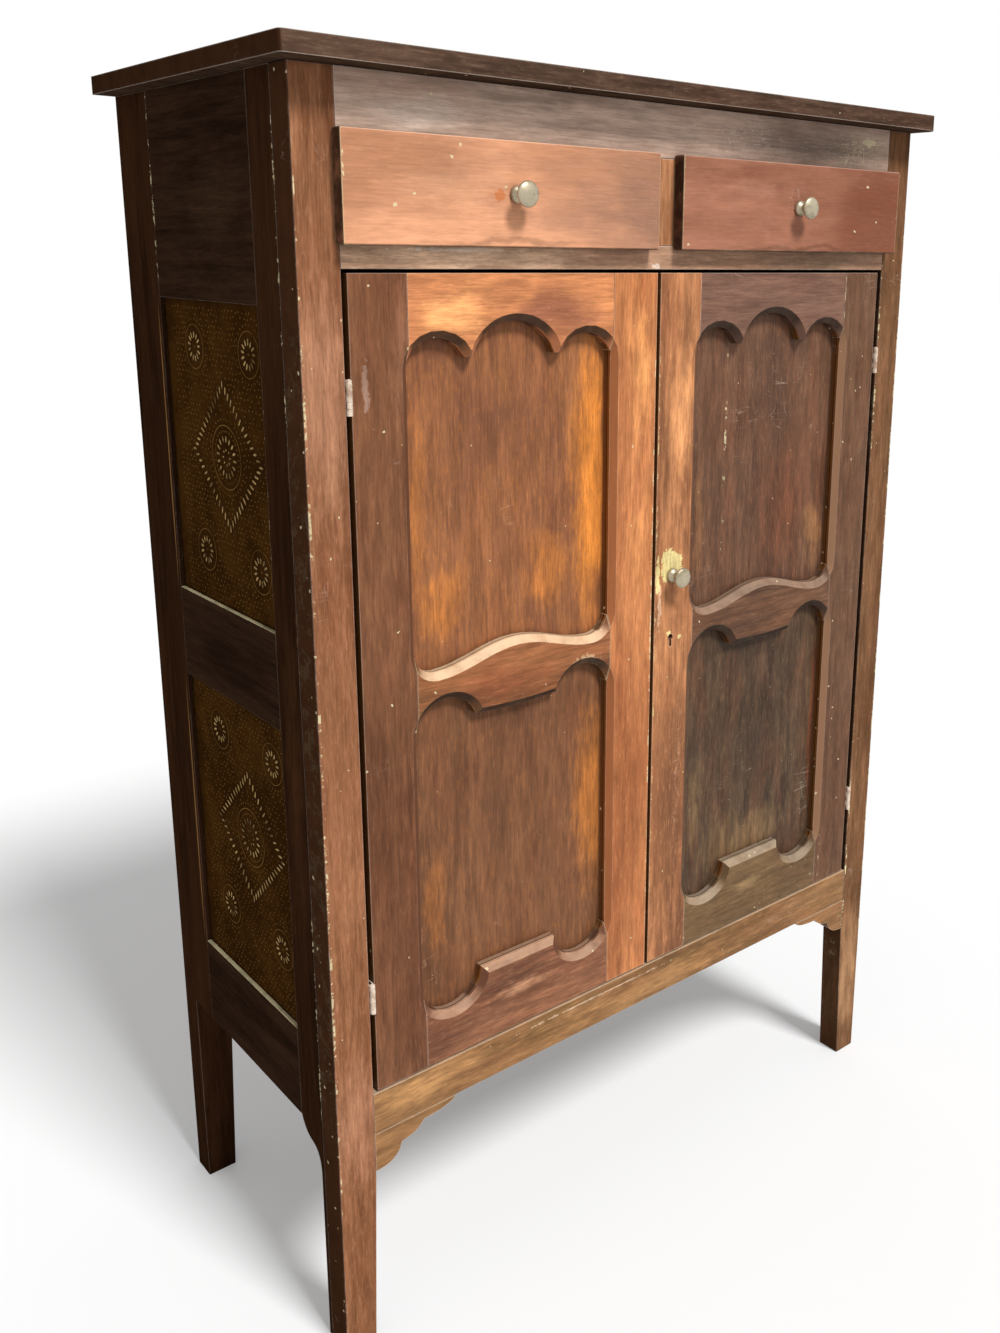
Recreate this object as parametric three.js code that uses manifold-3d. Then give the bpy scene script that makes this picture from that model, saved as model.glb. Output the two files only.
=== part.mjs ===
// A pie safe: a standing cupboard with two drawers, two scalloped doors and punched-tin sides.
// Millimetres. X runs along the front from the left, Y runs to the back, Z stands on the floor.
import * as THREE from "three";
import { mergeVertices } from "three/addons/utils/BufferGeometryUtils.js";
import Module from "manifold-3d";

const wasm = await Module();
wasm.setup();

// The case, from the floor up
const caseWidth = 1000;
const caseDepth = 455;
const legClearance = 298;
const bottomRailHeight = 56;
const doorOpeningHeight = 982;
const drawerRailHeight = 29;
const drawerOpeningHeight = 105;
const friezeHeight = 64;
const bottomRailTop = legClearance + bottomRailHeight;
const drawerRailBottom = bottomRailTop + doorOpeningHeight;
const drawerRailTop = drawerRailBottom + drawerRailHeight;
const friezeBottom = drawerRailTop + drawerOpeningHeight;
const caseHeight = friezeBottom + friezeHeight;

// Joints of fixed pieces keep a hair of space, and a cutter runs past the face that it cuts
const fit = 0.3;
const overrun = 5;
const curveSteps = 8;

// Top board
const topThickness = 21;
const topOverhangLeft = 26;
const topOverhangRight = 14;
const topOverhangFront = 39;
const topOverhangBack = 3;
const topCornerLeft = 5;
const topCornerRight = 20;

// Posts that run down as tapered legs
const postWidth = 50;
const postDepth = 38;
const footWidth = 41;
const taperHeight = 240;

// Front frame
const railDepth = 22;
const drawerRailDepth = 26;
const dividerWidth = 50;
const bracketLength = 118;
const bracketHeight = 53;
const bracketDepth = 20;

// Side frames, whose members are as thick as a board and rebated from the inside for the tins
const sideThickness = 18;
const frontStileInner = 93;
const rearStileWidth = 57;
const legCheek = 8;
const sideBottomRailHeight = 122;
const lowerTinHeight = 392;
const sideMidRailHeight = 118;
const upperTinHeight = 366;
const tinSetback = 6;
const tinThickness = 0.6;
const tinRebate = 8;
const tinPlay = 0.5;

// Back, floor and shelves
const backBoardCount = 4;
const backBoardThickness = 12;
const seamWidth = 2;
const seamDepth = 2;
const backInset = 3;
const rearRailDepth = 22;
const floorThickness = 18;
const shelfThickness = 16;
const shelfSetback = 50;
const shelfCount = 2;
const cleatWidth = 20;
const cleatHeight = 20;

// Drawer runners
const runnerThickness = 22;
const runnerLedge = 18;
const guideHeight = 30;

// Drawers
const lipProud = 18;
const lipOverlap = 5;
const frontTongue = 10;
const drawerPlay = 2.5;
const runningPlay = 0.5;
const drawerSide = 12;
const drawerHeadroom = 10;
const drawerRearSpace = 28;
const drawerBackDrop = 15;
const drawerBottomThickness = 7;
const drawerBottomRise = 9;
const grooveDepth = 5;

// Knobs, turned, with a screw shank that enters a blind hole
const knobRadius = 15.9;
const knobCapHeight = 10;
const knobBaseRadius = 10;
const knobBaseHeight = 3;
const knobNeckRadius = 4.8;
const knobProjection = 27;
const shankRadius = 2;
const shankLength = 14;
const shankPlay = 0.4;
const knobSides = 16;

// Doors
const meetingGap = 6;
const doorTopGap = 4;
const doorBottomGap = 2.5;
const doorSetback = 1.5;
const doorThickness = 26;
const stileWidth = 72;
const openingBevel = 8.5;
const openingBevelDepth = 7;
const panelThickness = 6.4;
const panelRebate = 8;
const hornTrim = 8;

// Outline of the doors' openings on the front face; widths are shares of the half width of an opening
const archHalfShare = 0.432;
const archRise = 56.5;
const lobeHalfShare = 0.3072;
const lobeRise = 40;
const springingBelowTop = 102;
const ogeeSpringingAboveRail = 87.5;
const ogeeCoveShare = 0.2432;
const ogeeCoveDepth = 39.5;
const ogeeHump = 22;
const midRailLevelShare = 0.4705;
const midRailSag = 2;
const bowlHalfShare = 0.3328;
const bowlRise = 50;
const bowlShoulder = 20;
const plateauHeight = 94.5;
const plateauShoulder = 4;
const bowlDepth = 45;

// Butt hinges
const hingeHeight = 38;
const hingeInset = 110;
const knuckleRadius = 3.4;
const knuckleClearance = 0.35;
const hingeGap = 2 * (knuckleRadius + knuckleClearance);
const knuckleCount = 5;
const knuckleGap = 0.3;
const hingeProud = 1;
const pinRadius = 1.3;
const pinHead = 1.8;
const pinHeadHeight = 1.2;
const pinPlay = 0.35;
const leafThickness = 1.5;
const leafDepth = 22;
const leafPlay = 0.3;
const knuckleSides = 12;

// Door knob, keyhole, lock and its bolt
const knobFromEdge = 31;
const keyholeAboveRail = 29;
const doorKnobAboveKeyhole = 88;
const keyholeRadius = 4.5;
const keySlotWidth = 4;
const keySlotLength = 14;
const lockWidth = 58;
const lockHeight = 56;
const lockThickness = 14;
const lockBoltHeight = 16;
const lockBoltThickness = 7;
const lockBoltLength = 26;
const lockWall = 2.5;
const slidePlay = 0.4;

// Turn button that holds the left door from inside
const buttonLength = 64;
const buttonWidth = 22;
const buttonThickness = 12;
const buttonFromEdge = 57;
const buttonBelowTop = 15;
const buttonScrewRadius = 2;
const buttonScrewLength = 14;
const buttonScrewHeadRadius = 4.5;
const buttonScrewHeadHeight = 2;

const colours = {
  wood: { color: 0x6b3f24, roughness: 0.45, metalness: 0 },
  inside: { color: 0x9a744c, roughness: 0.8, metalness: 0 },
  tin: { color: 0x453f31, roughness: 0.5, metalness: 0.7 },
  brass: { color: 0x9c8455, roughness: 0.4, metalness: 0.9 },
  iron: { color: 0x4a4642, roughness: 0.6, metalness: 0.8 },
};

const safe = new THREE.Group();

function add(name, geometry, look) {
  const mesh = new THREE.Mesh(geometry, new THREE.MeshStandardMaterial(colours[look]));
  mesh.name = name;
  safe.add(mesh);
}

// Solids

function bare(geometry) {
  const copy = geometry.index ? geometry.toNonIndexed() : geometry.clone();
  copy.deleteAttribute("normal");
  copy.deleteAttribute("uv");
  return copy;
}

function toSolid(geometry) {
  const merged = mergeVertices(bare(geometry));
  const vertProperties = new Float32Array(merged.attributes.position.array);
  const triVerts = new Uint32Array(merged.index.array);
  return new wasm.Manifold(new wasm.Mesh({ numProp: 3, vertProperties, triVerts }));
}

function toGeometry(solid) {
  const { vertProperties, triVerts } = solid.getMesh();
  const geometry = new THREE.BufferGeometry();
  geometry.setAttribute("position", new THREE.BufferAttribute(vertProperties, 3));
  geometry.setIndex(new THREE.BufferAttribute(triVerts, 1));
  return geometry;
}

function cut(geometry, cutters) {
  const solid = cutters.reduce((rest, cutter) => rest.subtract(toSolid(cutter)), toSolid(geometry));
  return toGeometry(solid);
}

function join(...geometries) {
  const [first, ...others] = geometries.map(toSolid);
  return toGeometry(others.reduce((whole, part) => whole.add(part), first));
}

function box(x0, x1, y0, y1, z0, z1) {
  const geometry = new THREE.BoxGeometry(Math.abs(x1 - x0), Math.abs(y1 - y0), Math.abs(z1 - z0));
  return geometry.translate((x0 + x1) / 2, (y0 + y1) / 2, (z0 + z1) / 2);
}

const xAxis = new THREE.Vector3(1, 0, 0);
const yAxis = new THREE.Vector3(0, 1, 0);
const zAxis = new THREE.Vector3(0, 0, 1);

function extrude(points, depth) {
  return new THREE.ExtrudeGeometry(new THREE.Shape(points), { depth, bevelEnabled: false });
}

// An upright board: its outline lies in X and Z, and it is as thick as y1 - y0
function frontBoard(points, y0, y1) {
  const turn = new THREE.Matrix4().makeBasis(xAxis, zAxis, yAxis.clone().negate());
  return extrude(points, y1 - y0).applyMatrix4(turn).translate(0, y1, 0);
}

// An upright board whose outline lies in Y and Z
function sideBoard(points, x0, x1) {
  const turn = new THREE.Matrix4().makeBasis(yAxis, zAxis, xAxis);
  return extrude(points, Math.abs(x1 - x0)).applyMatrix4(turn).translate(Math.min(x0, x1), 0, 0);
}

function flatBoard(points, z0, z1) {
  return extrude(points, z1 - z0).translate(0, 0, z0);
}

function point(x, y) {
  return new THREE.Vector2(x, y);
}

// The same place counted from the left or from the right end of the case
function fromSide(side, x) {
  return side === "left" ? x : caseWidth - x;
}

function sideBox(side, x0, x1, y0, y1, z0, z1) {
  return box(fromSide(side, x0), fromSide(side, x1), y0, y1, z0, z1);
}

function mirrored(side, points) {
  return points.map((p) => point(fromSide(side, p.x), p.y));
}

// A turned solid about Z from a profile of [radius, height] pairs
function turned(profile, sides) {
  const points = profile.map(([radius, height]) => point(radius, height));
  return new THREE.LatheGeometry(points, sides).rotateX(Math.PI / 2);
}

function disc(radius, z0, z1, sides) {
  return turned([[0, z0], [radius, z0], [radius, z1], [0, z1]], sides);
}

// Case

function topBoard() {
  const left = -topOverhangLeft;
  const right = caseWidth + topOverhangRight;
  const front = -topOverhangFront;
  const back = caseDepth + topOverhangBack;
  const shape = new THREE.Shape();
  shape.moveTo(left, back);
  shape.lineTo(left, front + topCornerLeft);
  shape.absarc(left + topCornerLeft, front + topCornerLeft, topCornerLeft, Math.PI, 1.5 * Math.PI);
  shape.absarc(right - topCornerRight, front + topCornerRight, topCornerRight, 1.5 * Math.PI, 2 * Math.PI);
  shape.lineTo(right, back);
  const options = { depth: topThickness, bevelEnabled: false, curveSegments: curveSteps };
  return new THREE.ExtrudeGeometry(shape, options).translate(0, 0, caseHeight + fit);
}

function post(side, y0) {
  const outline = [
    point(0, 0),
    point(footWidth, 0),
    point(postWidth, taperHeight),
    point(postWidth, caseHeight),
    point(0, caseHeight),
  ];
  return frontBoard(mirrored(side, outline), y0, y0 + postDepth);
}

function frontRail(z0, z1, depth) {
  return box(postWidth + fit, caseWidth - postWidth - fit, 0, depth, z0, z1);
}

function drawerDivider() {
  const middle = caseWidth / 2;
  const half = dividerWidth / 2;
  return box(middle - half, middle + half, 0, railDepth, drawerRailTop + fit, friezeBottom - fit);
}

// A bracket with a round nose at the leg, a cusp, and an ogee that dies into the rail
function bracket(side) {
  const noseShare = [0, 0.98];
  const noseBendShare = [0.27, 1];
  const cuspShare = [0.32, 0.52];
  const coveBendShare = [0.5, 0.5];
  const waistShare = [0.6, 0.22];
  const tailBendShare = [0.93, 0.2];
  const tailShare = [1, 0.03];
  const at = ([along, down]) => [
    postWidth + fit + along * bracketLength,
    legClearance - fit - down * bracketHeight,
  ];
  const path = new THREE.Path();
  path.moveTo(...at(noseShare));
  path.quadraticCurveTo(...at(noseBendShare), ...at(cuspShare));
  path.quadraticCurveTo(...at(coveBendShare), ...at(waistShare));
  path.quadraticCurveTo(...at(tailBendShare), ...at(tailShare));
  const outline = [...path.getPoints(curveSteps), point(...at([1, 0])), point(...at([0, 0]))];
  return frontBoard(mirrored(side, outline), 0, bracketDepth);
}

// Side frames

const sideRailFront = frontStileInner;
const rearPostFront = caseDepth - postDepth;
const sideRailBack = rearPostFront - rearStileWidth;
const lowerTinBottom = legClearance + sideBottomRailHeight;
const lowerTinTop = lowerTinBottom + lowerTinHeight;
const upperTinBottom = lowerTinTop + sideMidRailHeight;
const upperTinTop = upperTinBottom + upperTinHeight;

// The space behind the front lip of the frame, in which a tin lies
function tinPocket(side, z0, z1) {
  const reach = tinRebate;
  return sideBox(side, tinSetback, sideThickness + overrun,
    sideRailFront - reach, sideRailBack + reach, z0 - reach, z1 + reach);
}

function tinPockets(side) {
  return [tinPocket(side, lowerTinBottom, lowerTinTop), tinPocket(side, upperTinBottom, upperTinTop)];
}

function sideRail(side, z0, z1) {
  const rail = sideBox(side, 0, sideThickness, sideRailFront + fit, sideRailBack - fit, z0, z1);
  return cut(rail, tinPockets(side));
}

// The front stile ends in an ogee and runs down beside the leg as a thin cheek
function frontStile(side) {
  const cheekBack = postDepth + legCheek;
  const lowBendShare = [0.02, 0.52];
  const kneeShare = [0.4, 0.42];
  const highBendShare = [0.81, 0.36];
  const at = ([along, down]) => [
    cheekBack + along * (frontStileInner - cheekBack),
    legClearance - down * (legClearance - taperHeight),
  ];
  const path = new THREE.Path();
  path.moveTo(cheekBack, taperHeight);
  path.quadraticCurveTo(...at(lowBendShare), ...at(kneeShare));
  path.quadraticCurveTo(...at(highBendShare), frontStileInner, legClearance);
  const front = postDepth + fit;
  const outline = [
    point(front, 0),
    point(cheekBack, 0),
    ...path.getPoints(curveSteps),
    point(frontStileInner, caseHeight),
    point(front, caseHeight),
  ];
  const stile = sideBoard(outline, fromSide(side, 0), fromSide(side, sideThickness));
  return cut(stile, tinPockets(side));
}

// The rear post and the stile that is glued to it
function rearPost(side) {
  const stile = sideBox(side, 0, sideThickness, sideRailBack, rearPostFront + overrun,
    legClearance, caseHeight);
  return cut(join(post(side, rearPostFront), stile), tinPockets(side));
}

function tin(side, z0, z1) {
  const reach = tinRebate - tinPlay;
  const outer = tinSetback + fit;
  return sideBox(side, outer, outer + tinThickness,
    sideRailFront - reach, sideRailBack + reach, z0 - reach, z1 + reach);
}

function buildSide(side) {
  add(`${side}_front_stile`, frontStile(side), "wood");
  add(`${side}_top_panel`, sideRail(side, upperTinTop, caseHeight), "wood");
  add(`${side}_middle_rail`, sideRail(side, lowerTinTop, upperTinBottom), "wood");
  add(`${side}_bottom_rail`, sideRail(side, legClearance, lowerTinBottom), "wood");
  add(`${side}_lower_tin`, tin(side, lowerTinBottom, lowerTinTop), "tin");
  add(`${side}_upper_tin`, tin(side, upperTinBottom, upperTinTop), "tin");
}

// Back and inside

const boardsBack = caseDepth - backInset;
const boardsFront = boardsBack - backBoardThickness;
const rearRailFront = boardsFront - fit - rearRailDepth;

// The boards are glued edge to edge, with a groove along each seam
function backBoards() {
  const left = postWidth + fit;
  const width = caseWidth - 2 * left;
  const panel = box(left, left + width, boardsFront, boardsBack, legClearance, caseHeight);
  const grooves = [];
  for (let i = 1; i < backBoardCount; i += 1) {
    const seam = left + (i * width) / backBoardCount;
    grooves.push(box(seam - seamWidth / 2, seam + seamWidth / 2, boardsBack - seamDepth, boardsBack + overrun,
      legClearance - overrun, caseHeight + overrun));
  }
  return cut(panel, grooves);
}

// A board that fills the case from side to side and is notched round the posts that it meets
function innerBoard(front, z0, z1) {
  const left = sideThickness + fit;
  const right = caseWidth - left;
  const notch = postWidth + fit;
  const backNotch = rearPostFront - fit;
  const back = boardsFront - fit;
  const pastPost = postDepth + fit;
  const frontEdge = front < pastPost
    ? [point(left, pastPost), point(notch, pastPost), point(notch, front),
      point(caseWidth - notch, front), point(caseWidth - notch, pastPost), point(right, pastPost)]
    : [point(left, front), point(right, front)];
  const backEdge = [
    point(right, backNotch), point(caseWidth - notch, backNotch), point(caseWidth - notch, back),
    point(notch, back), point(notch, backNotch), point(left, backNotch),
  ];
  return flatBoard([...frontEdge, ...backEdge], z0, z1);
}

// A board screwed to the two cleats that carry it
function cleatedBoard(front, z0, z1) {
  const cleat = (side) => sideBox(side, sideThickness + fit, sideThickness + fit + cleatWidth,
    Math.max(front, postDepth + fit), rearPostFront - fit, z0 - cleatHeight, (z0 + z1) / 2);
  return join(innerBoard(front, z0, z1), cleat("left"), cleat("right"));
}

const shelfPitch = (doorOpeningHeight + shelfThickness) / (shelfCount + 1);

function shelfTop(index) {
  return bottomRailTop + (index + 1) * shelfPitch;
}

// Ledges level with the rail in front of them carry the drawers, and guides keep them straight
function endRunner(side) {
  const inner = sideThickness + fit;
  const front = postDepth + fit;
  const back = rearPostFront - fit;
  const low = drawerRailTop - runnerThickness;
  const ledge = sideBox(side, inner, postWidth + runnerLedge, front, back, low, drawerRailTop);
  const tenon = sideBox(side, postWidth + fit, postWidth + runnerLedge,
    back - overrun, rearRailFront + overrun, low, drawerRailTop);
  const guide = sideBox(side, inner, postWidth, front, back, low, drawerRailTop + guideHeight);
  return join(ledge, tenon, guide);
}

function middleRunner() {
  const middle = caseWidth / 2;
  const half = dividerWidth / 2;
  const front = drawerRailDepth + fit;
  const reach = half + runnerLedge;
  const low = drawerRailTop - runnerThickness;
  const ledge = box(middle - reach, middle + reach, front, rearRailFront + overrun, low, drawerRailTop);
  const guide = box(middle - half, middle + half, front, rearRailFront, low, drawerRailTop + guideHeight);
  return join(ledge, guide);
}

// The three runners are tenoned into a rail between the rear posts
function drawerFrame() {
  const rail = box(postWidth + fit, caseWidth - postWidth - fit, rearRailFront, boardsFront - fit,
    drawerRailBottom, drawerRailTop);
  return join(rail, endRunner("left"), middleRunner(), endRunner("right"));
}

function buildCase() {
  add("top_board", topBoard(), "wood");
  add("front_left_post", post("left", 0), "wood");
  add("front_right_post", post("right", 0), "wood");
  add("rear_left_post", rearPost("left"), "wood");
  add("rear_right_post", rearPost("right"), "wood");
  add("frieze_rail", frontRail(friezeBottom, caseHeight, railDepth), "wood");
  add("drawer_divider", drawerDivider(), "wood");
  add("drawer_rail", frontRail(drawerRailBottom, drawerRailTop, drawerRailDepth), "wood");
  add("bottom_rail", frontRail(legClearance, bottomRailTop, railDepth), "wood");
  add("left_bracket", bracket("left"), "wood");
  add("right_bracket", bracket("right"), "wood");
  buildSide("left");
  buildSide("right");
  add("back_boards", backBoards(), "inside");
  add("floor_board", cleatedBoard(railDepth + fit, bottomRailTop - floorThickness, bottomRailTop), "inside");
  add("lower_shelf", cleatedBoard(shelfSetback, shelfTop(0) - shelfThickness, shelfTop(0)), "inside");
  add("upper_shelf", cleatedBoard(shelfSetback, shelfTop(1) - shelfThickness, shelfTop(1)), "inside");
  add("drawer_frame", drawerFrame(), "inside");
}

// Knobs stand out of a face towards the front, and their shank reaches back into it

function knob(x, faceY, z) {
  const capBottom = knobProjection - knobCapHeight;
  const waist = (knobBaseHeight + capBottom) / 2;
  const rimHeight = capBottom + knobCapHeight / 3;
  const shoulder = 0.8;
  const profile = [
    [0, -shankLength],
    [shankRadius, -shankLength],
    [shankRadius, fit],
    [knobBaseRadius, fit],
    [knobBaseRadius, knobBaseHeight],
    [knobNeckRadius, waist],
    [knobNeckRadius, capBottom],
    [knobRadius * shoulder, capBottom],
    [knobRadius, rimHeight],
    [knobRadius * shoulder, knobProjection - fit],
    [0, knobProjection],
  ];
  return turned(profile, knobSides).rotateX(Math.PI / 2).translate(x, faceY, z);
}

function knobHole(x, faceY, z) {
  const hole = disc(shankRadius + shankPlay, -shankLength - shankPlay, overrun, knobSides);
  return hole.rotateX(Math.PI / 2).translate(x, faceY, z);
}

// Drawers

const drawerOpeningRight = (caseWidth - dividerWidth) / 2;
const drawerCentre = (postWidth + drawerOpeningRight) / 2;
const drawerKnobHeight = (drawerRailTop + friezeBottom) / 2;
const drawerBottom = drawerRailTop + runningPlay;
const drawerLength = rearRailFront - drawerRearSpace;

function drawerFront(side) {
  const lip = sideBox(side, postWidth - lipOverlap, drawerOpeningRight + lipOverlap,
    -lipProud - fit, -fit, drawerRailTop - lipOverlap, friezeBottom + lipOverlap);
  const tongue = sideBox(side, postWidth + drawerPlay, drawerOpeningRight - drawerPlay,
    -fit - overrun, frontTongue, drawerBottom, friezeBottom - drawerPlay);
  const groove = sideBox(side, postWidth + drawerPlay + drawerSide - grooveDepth,
    drawerOpeningRight - drawerPlay - drawerSide + grooveDepth,
    frontTongue - grooveDepth, frontTongue + overrun,
    drawerBottom + drawerBottomRise - fit, drawerBottom + drawerBottomRise + drawerBottomThickness + fit);
  const hole = knobHole(fromSide(side, drawerCentre), -lipProud - fit, drawerKnobHeight);
  return cut(join(lip, tongue), [groove, hole]);
}

// Two sides and a back, dovetailed, with the bottom board let into the sides
function drawerBox(side) {
  const outer = postWidth + drawerPlay;
  const inner = drawerOpeningRight - drawerPlay;
  const front = frontTongue + fit;
  const top = drawerBottom + drawerOpeningHeight - drawerHeadroom;
  const boardTop = drawerBottom + drawerBottomRise + drawerBottomThickness;
  const near = sideBox(side, outer, outer + drawerSide, front, drawerLength, drawerBottom, top);
  const far = sideBox(side, inner - drawerSide, inner, front, drawerLength, drawerBottom, top);
  const back = sideBox(side, outer, inner, drawerLength - drawerSide, drawerLength,
    drawerBottom + drawerBottomRise, top - drawerBackDrop);
  const inGroove = drawerSide - grooveDepth + fit;
  const bottom = sideBox(side, outer + inGroove, inner - inGroove, frontTongue - grooveDepth + fit,
    drawerLength - drawerSide / 2, drawerBottom + drawerBottomRise, boardTop);
  return join(near, far, back, bottom);
}

function buildDrawer(side) {
  add(`${side}_drawer_front`, drawerFront(side), "wood");
  add(`${side}_drawer_box`, drawerBox(side), "inside");
  const x = fromSide(side, drawerCentre);
  add(`${side}_drawer_knob`, knob(x, -lipProud - fit, drawerKnobHeight), "brass");
}

// Outlines of the doors' openings: X from the opening's centre line, Y for height above the door's bottom

const doorLeft = postWidth + hingeGap;
const doorRight = (caseWidth - meetingGap) / 2;
const doorWidth = doorRight - doorLeft;
const doorCentre = (doorLeft + doorRight) / 2;
const doorBottom = bottomRailTop + doorBottomGap;
const doorTop = drawerRailBottom - doorTopGap;
const doorFront = doorSetback;
const doorBack = doorFront + doorThickness;
const sightHalf = doorWidth / 2 - stileWidth;
const openingHalf = sightHalf + openingBevel;
const archHalfWidth = archHalfShare * openingHalf;
const lobeHalfWidth = lobeHalfShare * openingHalf;
const ogeeCoveWidth = ogeeCoveShare * openingHalf;
const bowlHalfWidth = bowlHalfShare * openingHalf;
const topSpringing = doorTop - doorBottom - springingBelowTop;
const midRailLevel = midRailLevelShare * (doorTop - doorBottom);
const ogeeSpringing = midRailLevel + ogeeSpringingAboveRail;

function arc(cx, cy, rx, ry, from, to, steps) {
  const points = [];
  for (let i = 0; i <= steps; i += 1) {
    const angle = from + (to - from) * (i / steps);
    points.push(point(cx + rx * Math.cos(angle), cy + ry * Math.sin(angle)));
  }
  return points;
}

// The place where two falling and rising curves cross, found by halving
function crossing(rising, falling, low, high) {
  const halvings = 40;
  let [a, b] = [low, high];
  for (let i = 0; i < halvings; i += 1) {
    const middle = (a + b) / 2;
    if (rising(middle) < falling(middle)) a = middle;
    else b = middle;
  }
  return (a + b) / 2;
}

// The left half of an outline whose right half ends on the centre line
function mirrorToLeft(points) {
  return points.slice(0, -1).map((p) => point(-p.x, p.y)).reverse();
}

// Top of the upper opening: a middle arch between two lobes, from the right stile to the left one
function scallops() {
  const lobeCentre = openingHalf - lobeHalfWidth;
  const height = (x, centre, half, rise) => rise * Math.sqrt(Math.max(0, 1 - ((x - centre) / half) ** 2));
  const cusp = crossing(
    (x) => height(x, lobeCentre, lobeHalfWidth, lobeRise),
    (x) => height(x, 0, archHalfWidth, archRise),
    lobeCentre - lobeHalfWidth,
    archHalfWidth,
  );
  const lobeEnd = Math.acos((cusp - lobeCentre) / lobeHalfWidth);
  const archStart = Math.acos(cusp / archHalfWidth);
  const lobe = arc(lobeCentre, topSpringing, lobeHalfWidth, lobeRise, 0, lobeEnd, curveSteps);
  const arch = arc(0, topSpringing, archHalfWidth, archRise, archStart, Math.PI / 2, curveSteps);
  const half = [...lobe, ...arch.slice(1)];
  return [...half, ...mirrorToLeft(half)];
}

// Bottom of the upper opening: a cove at each stile and a low hump between, from left to right
function ogeeSill() {
  const coveCentre = openingHalf - ogeeCoveWidth;
  const coveBottom = ogeeSpringing - ogeeCoveDepth;
  const cove = arc(coveCentre, ogeeSpringing, ogeeCoveWidth, ogeeCoveDepth, 0, -Math.PI / 2, curveSteps);
  const hump = [];
  for (let i = 1; i <= curveSteps; i += 1) {
    const x = coveCentre * (1 - i / curveSteps);
    hump.push(point(x, coveBottom + (ogeeHump * (1 + Math.cos(Math.PI * x / coveCentre))) / 2));
  }
  const half = [...cove, ...hump];
  return [...half, ...mirrorToLeft(half)].reverse();
}

// A round bowl beside the stile and a flat to the centre line; the flat is `shoulder` from the springing
function bowlAndFlat(springing, rise, shoulder, sag) {
  const centre = openingHalf - bowlHalfWidth;
  const sign = Math.sign(rise);
  const end = Math.PI - Math.asin(shoulder / Math.abs(rise));
  const bowl = arc(centre, springing, bowlHalfWidth, rise, 0, end, 2 * curveSteps);
  const corner = bowl[bowl.length - 1];
  const flat = [];
  for (let i = 1; i <= curveSteps; i += 1) {
    const share = i / curveSteps;
    flat.push(point(corner.x * (1 - share), corner.y - sag * sign * (1 - (1 - share) ** 2)));
  }
  const half = [...bowl, ...flat];
  return [...half, ...mirrorToLeft(half)];
}

function upperOpening() {
  return [...ogeeSill(), ...scallops()];
}

function lowerOpening() {
  const ceiling = bowlAndFlat(midRailLevel - bowlShoulder, bowlRise, bowlShoulder, midRailSag);
  const sill = bowlAndFlat(plateauHeight + plateauShoulder, -bowlDepth, plateauShoulder, 0);
  return [...sill.reverse(), ...ceiling];
}

// Each corner moves along the bisector of its two edges, so the outline shrinks evenly all round
function shrink(points, distance) {
  const count = points.length;
  return points.map((p, i) => {
    const before = p.clone().sub(points[(i + count - 1) % count]).normalize();
    const after = points[(i + 1) % count].clone().sub(p).normalize();
    const inward = point(-before.y - after.y, before.x + after.x).normalize();
    const turn = inward.x * -after.y + inward.y * after.x;
    return p.clone().addScaledVector(inward, distance / turn);
  });
}

// A closed solid through rings of equal point counts, each ring an outline at its own depth
function loft(rings) {
  const count = rings[0].outline.length;
  const position = rings.flatMap(({ outline, y }) => outline.flatMap((p) => [p.x, y, p.y]));
  const index = [];
  for (let ring = 0; ring + 1 < rings.length; ring += 1) {
    for (let i = 0; i < count; i += 1) {
      const a = ring * count + i;
      const b = ring * count + ((i + 1) % count);
      index.push(a, a + count, b, b, a + count, b + count);
    }
  }
  const last = (rings.length - 1) * count;
  for (const [a, b, c] of THREE.ShapeUtils.triangulateShape(rings[0].outline, [])) index.push(a, b, c);
  const endFaces = THREE.ShapeUtils.triangulateShape(rings[rings.length - 1].outline, []);
  for (const [a, b, c] of endFaces) index.push(last + a, last + c, last + b);
  const geometry = new THREE.BufferGeometry();
  geometry.setAttribute("position", new THREE.Float32BufferAttribute(position, 3));
  geometry.setIndex(index);
  return geometry;
}

// The tool that cuts one opening through the assembled door, with a bevel round the front edge
function openingCutter(side, outline) {
  const sight = shrink(outline, openingBevel);
  const centre = fromSide(side, doorCentre);
  const bevelEnd = doorFront + openingBevelDepth;
  return loft([
    { outline, y: doorFront - overrun },
    { outline, y: doorFront },
    { outline: sight, y: bevelEnd },
    { outline: sight, y: doorBack + overrun },
  ]).translate(centre, 0, doorBottom);
}

// The lowest and the highest place where a panel shows through an opening
function sightRange(outline) {
  const heights = shrink(outline, openingBevel).map((p) => p.y);
  return [doorBottom + Math.min(...heights), doorBottom + Math.max(...heights)];
}

// The panels lie in rebates cut from the back
const panelRanges = { lower: sightRange(lowerOpening()), upper: sightRange(upperOpening()) };
const panelFront = doorBack - panelThickness;

function panelBox(side, [low, high], reach, front, back) {
  const half = sightHalf + reach;
  return sideBox(side, doorCentre - half, doorCentre + half, front, back, low - reach, high + reach);
}

function doorCutters(side) {
  const openings = [lowerOpening(), upperOpening()].map((outline) => openingCutter(side, outline));
  const rebates = Object.values(panelRanges).map(
    (range) => panelBox(side, range, panelRebate, panelFront - fit, doorBack + overrun),
  );
  return [...openings, ...rebates];
}

function doorBoard(side, x0, x1, z0, z1) {
  return sideBox(side, x0, x1, doorFront, doorBack, z0, z1);
}

// Knob and keyhole of the right door, one above the other on its meeting stile
const hardwareX = caseWidth - doorRight + knobFromEdge;
const keyholeZ = doorBottom + midRailLevel + keyholeAboveRail;
const doorKnobZ = keyholeZ + doorKnobAboveKeyhole;

function doorKnobHole() {
  return knobHole(hardwareX, doorFront, doorKnobZ);
}

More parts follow.
